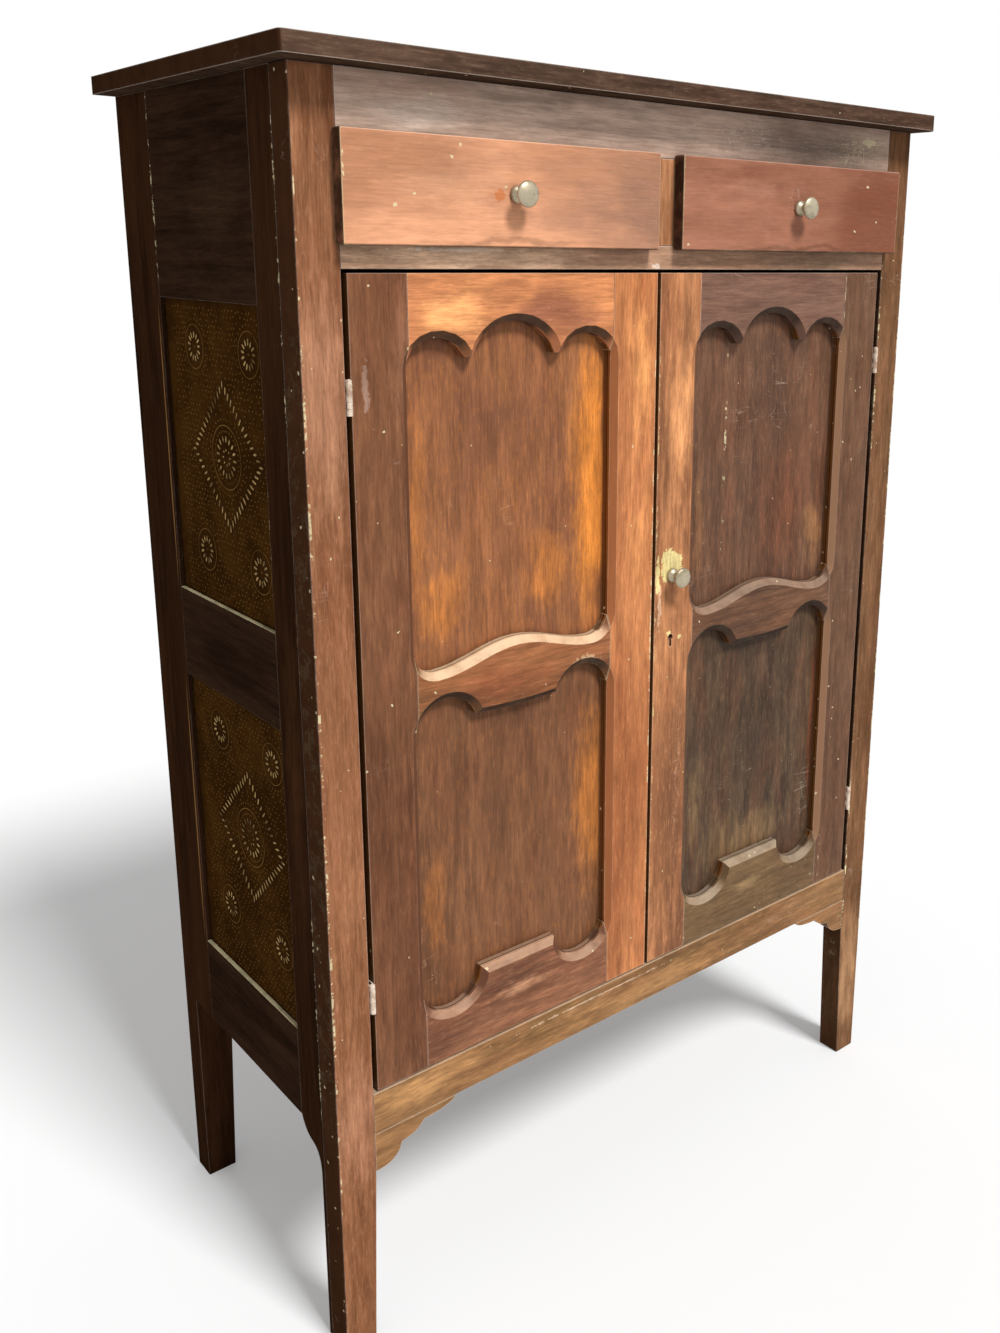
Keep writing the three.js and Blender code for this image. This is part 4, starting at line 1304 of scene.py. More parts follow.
PANEL_LOOK = {"figure": 0.02, "uneven": 0.22, "flicker": 0.3, "lines": 0.25, "flecks": 0.1}
# Doors: painted shade in the groove line, on faces that look down and on the openings' walls.
DOOR_LOOK = {"wear": 0.5, "quirk": 13.6, "under": 0.9, "walls": 0.9}
# Faces that look up on the side are paled to cream: dust, and painted highlight.
FLANK_LOOK = {"face": Face.SIDE, "wear": 0.40, "flecks": 0.0, "scratches": 0.04, "flicker": 0.08,
              "uneven": 0.05, "mottle": 0.15, "shine": 0.0, "gloss": 0.5, "dull": 0.7,
              "ledges": 0.95, "ledge_tone": Tone.CREAM}
BARE_LOOK = {"gloss": 0.6, "dull": 0.85, "shine": 0.15, "wear": 0.3, "lines": 0.4, "flecks": 0.0,
             "relief": 0.2, "ledges": 0.0, "fibre": 0.5, "flicker": 0.14, "uneven": 0.1}
# The drawer fronts' faces that do not look forward are darkened as painted shade.
DRAWER_LOOK = {"wear_radius": 2.4, "sides": 0.95, "streaks": 0.15, "mottle": 0.4, "wear": 0.56,
               "wear_tone": Tone.CREAM, "flicker": 0.12, "uneven": 0.06, "smoke": 0.2,
               "fibre": 0.16}

BOARDS = (
    WoodFinish("frieze", LIGHTENED_FRIEZE, Run.LEVEL, FRIEZE_PATCHES, wear=0.5, flecks=0.05, streaks=0.5,
               flicker=0.12, uneven=0.08, smoke=0.2),
    # The posts' faces that look left or right take the side's dark varnish as painted shade.
    WoodFinish("left post", LEFT_POST, Run.UPRIGHT, LEFT_POST_PATCHES, wear=0.52, flecks=0.07,
               cheeks=0.95, shine=0.0, uneven=0.1),
    WoodFinish("right post", RIGHT_POST, Run.UPRIGHT, RIGHT_POST_PATCHES, wear=0.55, flecks=0.08,
               cheeks=0.8, shine=0.0),
    WoodFinish("divider", DIVIDER, Run.UPRIGHT, wear=0.5),
    WoodFinish("drawer rail", LIGHTENED_RAIL, Run.LEVEL, RAIL_PATCHES, wear=0.52, flecks=0.09),
    WoodFinish("bottom rail", PLINTH, Run.LEVEL, PLINTH_PATCHES, wear=0.55, flecks=0.09),
    WoodFinish("left hinge stile", LEFT_HINGE, Run.UPRIGHT, LEFT_HINGE_PATCHES, **DOOR_LOOK),
    WoodFinish("left meeting stile", LEFT_MEET, Run.UPRIGHT, LEFT_MEET_PATCHES, **DOOR_LOOK),
    WoodFinish("left top rail", LEFT_TOP, Run.LEVEL, LEFT_TOP_PATCHES, **DOOR_LOOK),
    # Its ledge is paled strongly: dust, and painted highlight.
    WoodFinish("left middle rail", LEFT_MIDDLE, Run.LEVEL, LEFT_MIDDLE_PATCHES, ledges=0.92,
               **DOOR_LOOK),
    WoodFinish("left bottom rail", LEFT_BOTTOM, Run.LEVEL, LEFT_BOTTOM_PATCHES, **DOOR_LOOK),
    WoodFinish("left upper panel", LEFT_UPPER, Run.UPRIGHT, LEFT_UPPER_PATCHES, figure=0.02),
    WoodFinish("left lower panel", LEFT_LOWER, Run.UPRIGHT, LEFT_LOWER_PATCHES, figure=0.02),
    # Its slanted moulding takes the worn tone as painted light, where the light falls on it.
    WoodFinish("right hinge stile", RIGHT_HINGE, Run.UPRIGHT, RIGHT_SEAMS, scratches=0.14,
               flecks=0.1, cant_tone=Tone.WORN, **DOOR_LOOK),
    WoodFinish("right meeting stile", RIGHT_MEET, Run.UPRIGHT, RIGHT_MEET_PATCHES, **DOOR_LOOK),
    WoodFinish("right top rail", RIGHT_TOP, Run.LEVEL, RIGHT_SEAMS, scratches=0.13, **DOOR_LOOK),
    WoodFinish("right middle rail", RIGHT_MIDDLE, Run.LEVEL, **DOOR_LOOK),
    WoodFinish("right bottom rail", RIGHT_BOTTOM, Run.LEVEL, RIGHT_BOTTOM_PATCHES, flecks=0.08,
               **DOOR_LOOK),
    WoodFinish("right upper panel", RIGHT_UPPER, Run.UPRIGHT, RIGHT_UPPER_PATCHES, scratches=0.13,
               **PANEL_LOOK),
    WoodFinish("right lower panel", RIGHT_LOWER, Run.UPRIGHT, RIGHT_LOWER_PATCHES, scratches=0.14,
               **PANEL_LOOK),
    WoodFinish("left drawer", LEFT_DRAWER, Run.LEVEL, LEFT_DRAWER_PATCHES, **DRAWER_LOOK),
    WoodFinish("right drawer", RIGHT_DRAWER, Run.LEVEL, RIGHT_DRAWER_PATCHES, **DRAWER_LOOK),
    # The top's ends take the side's dark varnish as painted shade.
    WoodFinish("crown", CROWN, Run.LEVEL, face=Face.TOP, wear=0.55, scratches=0.12, shine=0.0,
               ledges=0.0, cheeks=0.95),
    WoodFinish("side stile", SHADED_FLANK, Run.UPRIGHT, STILE_PATCHES, **FLANK_LOOK),
    WoodFinish("side rail", SHADED_FLANK_RAIL, Run.DEEP, SIDE_PATCHES, **FLANK_LOOK),
    WoodFinish("back boards", INNER, Run.UPRIGHT, BACK_PATCHES, **BARE_LOOK),
    WoodFinish("bare level", INNER, Run.LEVEL, **BARE_LOOK),
    WoodFinish("bare deep", INNER, Run.DEEP, **BARE_LOOK),
)


METALS = (
    MetalFinish("tin sheet", paint(70, 44, 16), paint(52, 31, 10), paint(70, 36, 10), metallic=0.0,
                gloss=0.5, dull=0.75, tarnished=0.6, scale=11.0, wear=0.2, shine=0.0),
    # Dots and bead tops: rubbed metal, lightened as painted highlight.
    MetalFinish("tin dimple", paint(118, 86, 42), paint(86, 58, 26), paint(76, 46, 18),
                metallic=0.1, gloss=0.5, dull=0.7, scale=30.0, wear=0.3, shine=0.0),
    # Burr tops: rubbed metal, lightened as painted highlight.
    MetalFinish("rubbed tin", paint(186, 152, 96), paint(104, 76, 40), paint(84, 56, 26),
                metallic=0.1, gloss=0.45, dull=0.65, tarnished=0.55, spotted=0.4, scale=24.0,
                wear=0.5, wear_radius=0.4, shine=0.02),
    # Burr feet: darkened as painted shade.
    MetalFinish("dark rim", paint(46, 30, 12), paint(32, 20, 8), paint(36, 20, 8), metallic=0.0,
                gloss=0.7, dull=0.9, scale=90.0, shine=0.02),
    MetalFinish("old brass", paint(180, 168, 142), paint(130, 118, 94), paint(92, 78, 58),
                metallic=0.55, gloss=0.24, dull=0.42, tarnished=0.45, spotted=0.2, scale=45.0,
                wear=0.5),
    MetalFinish("painted hinge", paint(226, 208, 188), paint(176, 146, 124), paint(92, 66, 48),
                metallic=0.0, gloss=0.45, dull=0.7, spotted=0.5, scale=70.0, wear=0.5, shine=0.2),
    MetalFinish("dark iron", paint(96, 86, 76), paint(48, 40, 34), paint(86, 48, 28),
                metallic=0.7, gloss=0.4, dull=0.65, tarnished=0.6, spotted=0.5, scale=80.0,
                wear=0.45),
)


class Bench:
    """Makes new pieces and dresses the ones that the frame brings."""

    def __init__(self, nodes: dict[str, bpy.types.Object]) -> None:
        """Builds every finish.

        Args:
            nodes: The frame's nodes by name.
        """
        self.nodes = nodes
        effects = Effects()
        self.finishes = {finish.name: finish.build(effects) for finish in (*BOARDS, *METALS)}

    def dress(self, name: str, finish: str, edge: float, segments: int = 2) -> None:
        """Gives a node its finish and eases its edges.

        Args:
            name: The node.
            finish: The name of its finish.
            edge: How wide its edges are rounded, in millimetres, or 0 to leave them square.
            segments: How many faces each rounding has.
        """
        piece = self.nodes[name]
        for slot in piece.material_slots:
            slot.material = self.finishes[finish]
        self._ease(piece, edge, segments)
        log.info("dressed %s with %s", name, finish)

    @staticmethod
    def _ease(piece: bpy.types.Object, edge: float, segments: int) -> None:
        """Joins split corners, rounds the sharp edges and shades the rest smooth.

        Args:
            piece: The node's object.
            edge: How wide its edges are rounded, in millimetres, or 0 to leave them square.
            segments: How many faces each rounding has.
        """
        normals = piece.data.attributes.get("custom_normal")
        if normals is not None:
            piece.data.attributes.remove(normals)
        for face in piece.data.polygons:
            face.use_smooth = edge > 0
        for line in piece.data.edges:
            line.use_edge_sharp = False
        weld = piece.modifiers.new("Joined corners", "WELD")
        weld.merge_threshold = WELD_REACH * MM
        if edge > 0:
            bevel = piece.modifiers.new("Eased edges", "BEVEL")
            bevel.width = edge * MM
            bevel.segments = segments
            bevel.limit_method = "ANGLE"
            bevel.angle_limit = math.radians(SHARP_TURN)
            bevel.harden_normals = True
            bevel.use_clamp_overlap = True

    def piece(self, name: str, mesh: bmesh.types.BMesh, finishes: Sequence[str], body: str,
              slot: str, stands_for: Sequence[str], crease: float, close: bool = True) -> None:
        """Makes a new piece that rides on a body.

        Args:
            name: The piece's name.
            mesh: Its mesh, which is freed.
            finishes: The names of its finishes, in the order that the faces number them.
            body: The body that it rides on.
            slot: Not used.
            stands_for: The nodes that it replaces.
            crease: Edges that turn by more degrees than this stay sharp.
            close: Whether the faces are turned outward first.
        """
        if close:
            bmesh.ops.recalc_face_normals(mesh, faces=mesh.faces)
        for face in mesh.faces:
            face.smooth = True
        for line in mesh.edges:
            if len(line.link_faces) == 2:
                line.smooth = line.calc_face_angle(0.0) < math.radians(crease)
        data = bpy.data.meshes.new(name)
        mesh.to_mesh(data)
        mesh.free()
        for finish in finishes:
            data.materials.append(self.finishes[finish])
        piece = bpy.data.objects.new(name, data)
        bpy.context.scene.collection.objects.link(piece)
        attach(piece, body)
        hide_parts(*stands_for)
        log.info("made %s on %s with %d faces", name, body, len(data.polygons))


def turned(mesh: bmesh.types.BMesh, profile: Sequence[tuple[float, float]], centre: Vector,
           axis: Vector, sides: int) -> None:
    """Adds a turned form to a mesh.

    Args:
        mesh: The mesh that it goes into.
        profile: Radius and height along the axis in millimetres, from one end to the other.
        centre: Where the axis starts.
        axis: The axis's direction.
        sides: How many faces go round.
    """
    up = axis.normalized()
    first = up.orthogonal().normalized()
    second = up.cross(first)
    rows: list[list[bmesh.types.BMVert]] = []
    for radius, height in profile:
        at = centre + up * height * MM
        if radius <= 0:
            rows.append([mesh.verts.new(at)])
            continue
        rows.append([mesh.verts.new(at + (first * math.cos(a) + second * math.sin(a)) * radius * MM)
                     for a in (2 * math.pi * i / sides for i in range(sides))])
    for low, high in zip(rows, rows[1:]):
        for i in range(sides):
            j = (i + 1) % sides
            if len(low) == 1:
                corners = (low[0], high[j], high[i])
            elif len(high) == 1:
                corners = (low[i], low[j], high[0])
            else:
                corners = (low[i], low[j], high[j], high[i])
            mesh.faces.new(corners)
    for row, way in ((rows[0], -1), (rows[-1], 1)):
        if len(row) > 1:
            mesh.faces.new(row[::way])


def rounded(points: Sequence[tuple[float, float]], steps: int) -> list[tuple[float, float]]:
    """Draws a smooth curve through the points of a profile.

    Args:
        points: Radius and height pairs.
        steps: How many stretches each gap is cut into.

    Returns:
        The finer profile.
    """
    ends = [points[0], *points, points[-1]]
    curve: list[tuple[float, float]] = []
    for a, b, c, d in zip(ends, ends[1:], ends[2:], ends[3:]):
        for k in range(steps):
            t = k / steps
            curve.append(tuple(
                0.5 * (2 * q + (r - p) * t + (2 * p - 5 * q + 4 * r - s) * t * t
                       + (3 * q - p - 3 * r + s) * t ** 3)
                for p, q, r, s in zip(a, b, c, d)))
    curve.append(points[-1])
    return [(max(radius, 0.0), height) for radius, height in curve]


@dataclass
class Knob:
    """A turned mushroom knob that stands out of a face towards the front."""

    name: str
    body: str
    x: float
    face: float
    z: float
    cap: float = 14.6
    foot: float = 9.9
    neck: float = 4.9
    reach: float = 27.0
    sides: int = 48
    crease: float = 50.0

    def profile(self) -> list[tuple[float, float]]:
        """Draws the outline from the foot to the crown of the cap.

        Returns:
            Radius and height of each point in millimetres.
        """
        foot = rounded([(self.foot * 0.92, 0.3), (self.foot, 1.4), (self.foot, 3.2),
                        (self.foot * 0.92, 5.0), (self.foot * 0.74, 6.6),
                        (self.neck * 1.1, 8.4)], 3)
        neck = rounded([(self.neck * 1.1, 8.4), (self.neck, 10.4), (self.neck * 1.1, 14.0),
                        (self.neck * 1.7, 16.4), (self.cap * 0.72, 17.8), (self.cap * 0.92, 18.9),
                        (self.cap, 20.6), (self.cap * 0.965, 22.2)], 3)
        crown = rounded([(self.cap * 0.965, 22.2), (self.cap * 0.86, 23.6), (self.cap * 0.62, 25.2),
                         (self.cap * 0.32, 26.5), (0.0, self.reach)], 4)
        return foot + neck[1:] + crown[1:]

    def build(self, bench: Bench) -> None:
        """Makes the knob in place of its node.

        Args:
            bench: Where pieces are made.
        """
        mesh = bmesh.new()
        foot = place(self.x, self.face, self.z)
        turned(mesh, self.profile(), foot, Vector((0, -1, 0)), self.sides)
        bench.piece(self.name + "_turned", mesh, ["old brass"], self.body, "brass", [self.name],
                    self.crease)


@dataclass(frozen=True)
class Ring:
    """Marks that stand round a centre and point to it, in millimetres."""

    radius: float
    count: int
    half_long: float
    half_wide: float
    start: float
    rise: float


@dataclass(frozen=True)
class Punch:
    """One mark of a punched tin: its place, its turn, half its length and width, and its rise."""

    y: float
    z: float
    turn: float
    half_long: float
    half_wide: float
    rise: float


class TinPart(Enum):
    """The parts of a tin that have a finish of their own, by the number that their faces hold."""

    SHEET = 0
    # the upper slope and top of a burr, lighter: rubbed metal and painted highlight
    BURR = 1
    # the foot of a burr, darkened as its painted shade
    RIM = 2
    # ground dots and bead tops, lighter: rubbed metal and painted highlight
    DOT = 3


TIN_FINISHES = ("tin sheet", "rubbed tin", "dark rim", "tin dimple")
SUNK = -0.05  # how deep the foot of a mark or a bead lies in the sheet, in millimetres
SMALL_MARK = 2.0  # marks whose half length is below this are plain dots
CENTRE_DOT = (1.4, 1.4, 0.6)  # half length, half width and rise of single marks
DIAMOND_MARK = (6.0, 1.75, 1.2)
GROUND_DOT = (1.3, 1.0, 0.5)
FLOWER_BEAD = (38.0, 1.6, 0.7)  # radius, half width and rise of the raised rings
ROSETTE_BEAD = (26.0, 1.3, 0.55)
FLOWER = (Ring(22.0, 16, 4.8, 1.9, 0.1, 1.1), Ring(9.0, 8, 2.0, 1.2, 0.0, 0.7),
          Ring(31.0, 30, 1.5, 1.1, 0.0, 0.6), Ring(45.0, 38, 1.4, 1.0, 0.0, 0.5))
ROSETTE = (Ring(14.0, 13, 4.9, 1.9, 0.2, 1.1), Ring(33.0, 26, 1.3, 1.0, 0.0, 0.5))


@dataclass
class PunchedTin:
    """A tin sheet in the side, punched from within with a diamond, a flower and four rosettes.

    Attributes:
        side: The side that it stands in.
        level: Whether it is the upper or the lower one.
        low: Its lower edge, in millimetres above the floor.
        high: Its upper edge.
        centre_z: The middle of its pattern.
        front: Its front edge, in millimetres behind the case's front.
        back: Its rear edge.
        centre_y: The middle of its pattern.
        outer: How deep its outer face stands in the side.
        thick: How thick the sheet is.
        wave: How far it waves out of flat.
        diamond_y: Half the diamond's width.
        diamond_z: Half its height.
        diamond_marks: How many marks each side of the diamond has.
        diamond_depth: How far the diamond's middle is from its sides.
        rosette_y: How far the rosettes stand from the middle, towards the front and the back.
        rosette_z: How far they stand above and below it.
        dots: How many dots a row of the ground has.
        dots_y: How far apart they stand.
        dots_z: How far apart the rows are.
        inset_y: How far the ground starts from the front edge.
        inset_z: How far it starts from the lower and the upper edge.
        missing: The share of the dots that were never punched.
        clear_back: How far dots stay away from the rear edge.
        clear_flower: How far they stay away from the flower's centre.
        clear_rosette: How far they stay away from a rosette's centre.
        clear_diamond: How far they stay away from the diamond.
        crease: Its edges that turn by more degrees than this stay sharp.
        seed: What makes its unevenness its own.
        marks: Its marks.
    """

    side: Side
    level: str
    low: float
    high: float
    centre_z: float
    front: float = 85.5
    back: float = 367.5
    centre_y: float = 207.0
    outer: float = 6.3
    thick: float = 0.6
    wave: float = 0.9
    diamond_y: float = 90.0
    diamond_z: float = 85.0
    diamond_marks: int = 13
    diamond_depth: float = 62.0
    rosette_y: float = 74.0
    rosette_z: float = 124.0
    dots: int = 32
    dots_y: float = 8.8
    dots_z: float = 6.4
    inset_y: float = 11.0
    inset_z: float = 12.0
    missing: float = 0.16
    clear_back: float = 26.0
    clear_flower: float = 49.0
    clear_rosette: float = 36.0
    clear_diamond: float = 7.5
    crease: float = 40.0
    seed: int = 7
    marks: list[Punch] = field(default_factory=list)

    def _bulge(self, y: float, z: float) -> float:
        """Says how far the sheet waves out of flat at a place.

        Args:
            y: The place, towards the back.
            z: The place, above the floor.

        Returns:
            The distance in millimetres.
        """
        across = (y - self.front) / (self.back - self.front)
        along = (z - self.low) / (self.high - self.low)
        hold = min(1.0, 9.0 * min(across, 1 - across, along, 1 - along))
        ripple = (math.sin(5.1 * across + 2.2 * along + self.seed)
                  + 0.6 * math.sin(9.7 * along + 3.0 * across + 2.0 * self.seed)
                  + 0.4 * math.cos(13.0 * across - 6.0 * along))
        return self.wave * hold * ripple * 0.45

    def _rosettes(self) -> list[tuple[float, float]]:
        """Gives the centres of the four rosettes.

        Returns:
            The place of each towards the back and above the floor.
        """
        return [(self.centre_y + dy, self.centre_z + dz)
                for dy in (-self.rosette_y, self.rosette_y)
                for dz in (-self.rosette_z, self.rosette_z)]

    def _ring(self, y: float, z: float, ring: Ring) -> None:
        """Lists the marks of a ring.

        Args:
            y: The ring's centre towards the back.
            z: The ring's centre above the floor.
            ring: The ring.
        """
        for i in range(ring.count):
            turn = ring.start + 2 * math.pi * i / ring.count
            self.marks.append(Punch(
                y + ring.radius * math.cos(turn), z + ring.radius * math.sin(turn), turn,
                ring.half_long, ring.half_wide, ring.rise))

    def _pattern(self) -> None:
        """Lists every mark of the pattern."""
        cy, cz = self.centre_y, self.centre_z
        for ring in FLOWER:
            self._ring(cy, cz, ring)
        for y, z in self._rosettes():
            for ring in ROSETTE:
                self._ring(y, z, ring)
            self.marks.append(Punch(y, z, 0.0, *CENTRE_DOT))
        tips = ((-self.diamond_y, 0.0), (0.0, self.diamond_z), (self.diamond_y, 0.0),
                (0.0, -self.diamond_z))
        for k in range(4):
            (ay, az), (by, bz) = tips[k], tips[(k + 1) % 4]
            for i in range(self.diamond_marks):
                t = i / self.diamond_marks
                dy, dz = ay + (by - ay) * t, az + (bz - az) * t
                self.marks.append(Punch(cy + dy, cz + dz, math.atan2(dz, dy), *DIAMOND_MARK))
        self._ground()

    def _ground(self) -> None:
        """Lists the small dots that fill the ground between the figures."""
        cy, cz = self.centre_y, self.centre_z
        chance = random.Random(self.seed)
        rows = int((self.high - self.low - 2 * self.inset_z) / self.dots_z) + 1
        for j in range(rows):
            for i in range(self.dots):
                z = self.low + self.inset_z + j * self.dots_z + chance.uniform(-1.1, 1.1)
                y = (self.front + self.inset_y + i * self.dots_y + (j % 2) * self.dots_y / 2
                     + chance.uniform(-1.2, 1.2))
                if chance.random() < self.missing:
                    continue
                dy, dz = abs(y - cy), abs(z - cz)
                if y > self.back - self.clear_back or math.hypot(dy, dz) < self.clear_flower:
                    continue
                if math.hypot(dy - self.rosette_y, dz - self.rosette_z) < self.clear_rosette:
                    continue
                share = abs(dy / self.diamond_y + dz / self.diamond_z - 1)
                if share * self.diamond_depth > self.clear_diamond:
                    self.marks.append(Punch(y, z, math.pi / 2, *GROUND_DOT))

    def _point(self, y: float, z: float, rise: float) -> Vector:
        """Gives the place of a point that stands proud of the sheet's outer face."""
        depth = self.outer + self._bulge(y, z) - rise
        return place(self.side.x(depth), y, z)

    def _sheet(self, mesh: bmesh.types.BMesh) -> None:
        """Adds the waved sheet, which is closed at its edges.

        Args:
            mesh: The mesh that it goes into.
        """
        across, along = 28, 40
        layers = []
        for depth in (0.0, -self.thick):
            rows = []
            for j in range(along + 1):
                z = self.low + (self.high - self.low) * j / along
                rows.append([mesh.verts.new(self._point(
                    self.front + (self.back - self.front) * i / across, z, depth))
                    for i in range(across + 1)])
            layers.append(rows)
        for rows in layers:
            for low, high in zip(rows, rows[1:]):
                for i in range(across):
                    mesh.faces.new((low[i], low[i + 1], high[i + 1], high[i]))
        outer, inner = layers
        rims = [([r[0] for r in outer], [r[0] for r in inner]),
                ([r[-1] for r in outer], [r[-1] for r in inner]),
                (outer[0], inner[0]), (outer[-1], inner[-1])]
        for one, two in rims:
            for i in range(len(one) - 1):
                mesh.faces.new((one[i], one[i + 1], two[i + 1], two[i]))

    def _mark(self, mesh: bmesh.types.BMesh, item: Punch, drift: random.Random) -> None:
        """Adds one punched mark: a raised burr whose foot is darkened as its painted shade and
        whose top is lighter, partly rubbed metal and partly painted highlight; a small mark is a
        lighter dot.

        Args:
            mesh: The mesh that it goes into.
            item: The mark.
            drift: The unevenness of hand work.
        """
        y = item.y + drift.uniform(-0.3, 0.3)
        z = item.z + drift.uniform(-0.3, 0.3)
        turn = item.turn + drift.uniform(-0.06, 0.06)
        rise = item.rise * drift.uniform(0.7, 1.2)
        if item.half_long < SMALL_MARK:
            sides, shapes = 4, [(1.2, SUNK), (0.5, rise)]
            parts = [TinPart.DOT, TinPart.DOT]
        else:
            sides, shapes = 8, [(1.3, SUNK), (0.85, rise * 0.7), (0.45, rise)]
            parts = [TinPart.RIM, TinPart.BURR, TinPart.BURR]
        rings = []
        for share, lift in shapes:
            ring = []
            for k in range(sides):
                a = 2 * math.pi * (k + 0.5) / sides
                long = item.half_long * share * math.cos(a)
                wide = item.half_wide * share * math.sin(a)
                ring.append(mesh.verts.new(self._point(
                    y + long * math.cos(turn) - wide * math.sin(turn),
                    z + long * math.sin(turn) + wide * math.cos(turn), lift)))
            rings.append(ring)
        flip = -1 if self.side is Side.LEFT else 1
        for part, low, high in zip(parts, rings, rings[1:]):
            for k in range(sides):
                m = (k + 1) % sides
                face = mesh.faces.new((low[k], low[m], high[m], high[k])[::flip])
                face.material_index = part.value
        mesh.faces.new(rings[-1][::flip]).material_index = parts[-1].value

    def _bead(self, mesh: bmesh.types.BMesh, y: float, z: float, radius: float, half: float,
              rise: float) -> None:
        """Adds a raised ring pressed into the sheet, whose top takes the lighter dimple finish:
        rubbed metal and painted highlight.

        Args:
            mesh: The mesh that it goes into.
            y: The ring's centre towards the back.
            z: The ring's centre above the floor.
            radius: Its radius.
            half: Half its width.
            rise: How far it stands proud.
        """
        around = 56
        rows = []
        for off, lift in ((-half, SUNK), (-half * 0.4, rise), (half * 0.4, rise), (half, SUNK)):
            rows.append([mesh.verts.new(self._point(
                y + (radius + off) * math.cos(2 * math.pi * k / around),
                z + (radius + off) * math.sin(2 * math.pi * k / around), lift))
                for k in range(around)])
        flip = 1 if self.side is Side.LEFT else -1
        for part, low, high in zip((TinPart.SHEET, TinPart.DOT, TinPart.SHEET), rows, rows[1:]):
            for k in range(around):
                m = (k + 1) % around
                face = mesh.faces.new((low[k], low[m], high[m], high[k])[::flip])
                face.material_index = part.value

    def build(self, bench: Bench) -> None:
        """Makes the tin in place of its node.

        Args:
            bench: Where pieces are made.
        """
        node = f"{self.side.value}_{self.level}_tin"
        mesh = bmesh.new()
        self._sheet(mesh)
        bmesh.ops.recalc_face_normals(mesh, faces=mesh.faces)
        self._pattern()
        drift = random.Random(self.seed)
        for item in self.marks:
            self._mark(mesh, item, drift)
        self._bead(mesh, self.centre_y, self.centre_z, *FLOWER_BEAD)
        for y, z in self._rosettes():
            self._bead(mesh, y, z, *ROSETTE_BEAD)
        bench.piece(node + "_punched", mesh, TIN_FINISHES, "case", "tin", [node], self.crease,
                    close=False)


@dataclass
class CaseFrame:
    """The top, the posts, the rails and the brackets."""

    edge: float = 1.0
    post_edge: float = 1.4
    top_edge: float = 5.0

    def build(self, bench: Bench) -> None:
        """Dresses the front frame, the posts and the top.

        Args:
            bench: Where pieces are dressed.
        """
        bench.dress("top_board", "crown", self.top_edge, 4)
        for side in Side:
            bench.dress(f"front_{side.value}_post", f"{side.value} post", self.post_edge)
            bench.dress(f"rear_{side.value}_post", "side stile", self.edge)
            bench.dress(f"{side.value}_bracket", "bottom rail", self.edge)
        bench.dress("frieze_rail", "frieze", self.edge)
        bench.dress("drawer_divider", "divider", self.edge)
        bench.dress("drawer_rail", "drawer rail", self.edge)
        bench.dress("bottom_rail", "bottom rail", self.edge)


@dataclass
class SideFrame:
    """One side of the case: its framing and its two punched tins."""

    side: Side
    edge: float = 0.9

    def build(self, bench: Bench) -> None:
        """Dresses the framing and makes the tins.

        Args:
            bench: Where pieces are made.
        """
        name = self.side.value
        bench.dress(f"{name}_front_stile", "side stile", self.edge)
        for part in ("top_panel", "middle_rail", "bottom_rail"):
            bench.dress(f"{name}_{part}", "side rail", self.edge)
        other = 0 if self.side is Side.LEFT else 5
        PunchedTin(self.side, "lower", low=412.5, high=819.5, centre_z=632.0,
                   seed=3 + other).build(bench)
        PunchedTin(self.side, "upper", low=922.5, high=1303.5, centre_z=1117.0,
                   seed=8 + other).build(bench)


@dataclass
class Interior:
    """The bare boards that the case holds inside and at the back."""

    edge: float = 0.7

    def build(self, bench: Bench) -> None:
        """Dresses the back, the floor, the shelves and the drawer frame.

        Args:
            bench: Where pieces are dressed.
        """
        bench.dress("back_boards", "back boards", self.edge)
        for board in ("floor_board", "lower_shelf", "upper_shelf"):
            bench.dress(board, "bare level", self.edge)
        bench.dress("drawer_frame", "bare deep", self.edge)


@dataclass
class Drawer:
    """One drawer: its lipped front, its box and its knob."""

    side: Side
    knob_x: float = 262.5
    knob_z: float = 1417.5
    face: float = -18.3
    edge: float = 3.4
    box_edge: float = 0.0

    def build(self, bench: Bench) -> None:
        """Dresses the front and the box, and makes the knob.

        Args:
            bench: Where pieces are made.
        """
        name = f"{self.side.value}_drawer"
        bench.dress(f"{name}_front", f"{self.side.value} drawer", self.edge, 4)
        bench.dress(f"{name}_box", "bare deep", self.box_edge)
        Knob(f"{name}_knob", name, self.side.x(self.knob_x), self.face, self.knob_z).build(bench)


@dataclass
class Door:
    """One framed door with a scalloped top and a shaped rail across its middle."""

    side: Side
    edge: float = 0.9

    def build(self, bench: Bench) -> None:
        """Dresses the frame and the panels.

        Args:
            bench: Where pieces are dressed.
        """
        for part in ("hinge_stile", "meeting_stile", "top_rail", "middle_rail", "bottom_rail",
                     "lower_panel", "upper_panel"):
            finish = f"{self.side.value} {part.replace('_', ' ')}"
            bench.dress(f"{self.side.value}_door_{part}", finish, self.edge)


@dataclass
class Hinges:
    """The two butt hinges of one door."""

    side: Side
    edge: float = 0.25

    def build(self, bench: Bench) -> None:
        """Dresses the leaves.

        Args:
            bench: Where pieces are dressed.
        """
        for level in ("lower", "upper"):
            for leaf in ("post_leaf", "door_leaf"):
                bench.dress(f"{self.side.value}_{level}_{leaf}", "painted hinge", self.edge)


@dataclass
class Fastenings:
    """The lock with its bolt, the right door's knob and the turn button of the left door."""

    knob_x: float = 534.0
    knob_z: float = 932.5
    knob_cap: float = 14.0
    knob_reach: float = 26.0
    door_face: float = 1.5
    case_edge: float = 0.6
    bolt_edge: float = 0.5
    button_edge: float = 0.9

    def build(self, bench: Bench) -> None:
        """Dresses the lock and the button, and makes the knob.

        Args:
            bench: Where pieces are made.
        """
        bench.dress("lock_case", "dark iron", self.case_edge)
        bench.dress("lock_bolt", "old brass", self.bolt_edge)
        bench.dress("turn_button", "bare level", self.button_edge)
        Knob("right_door_knob", "right_door", self.knob_x, self.door_face, self.knob_z,
             cap=self.knob_cap, reach=self.knob_reach).build(bench)


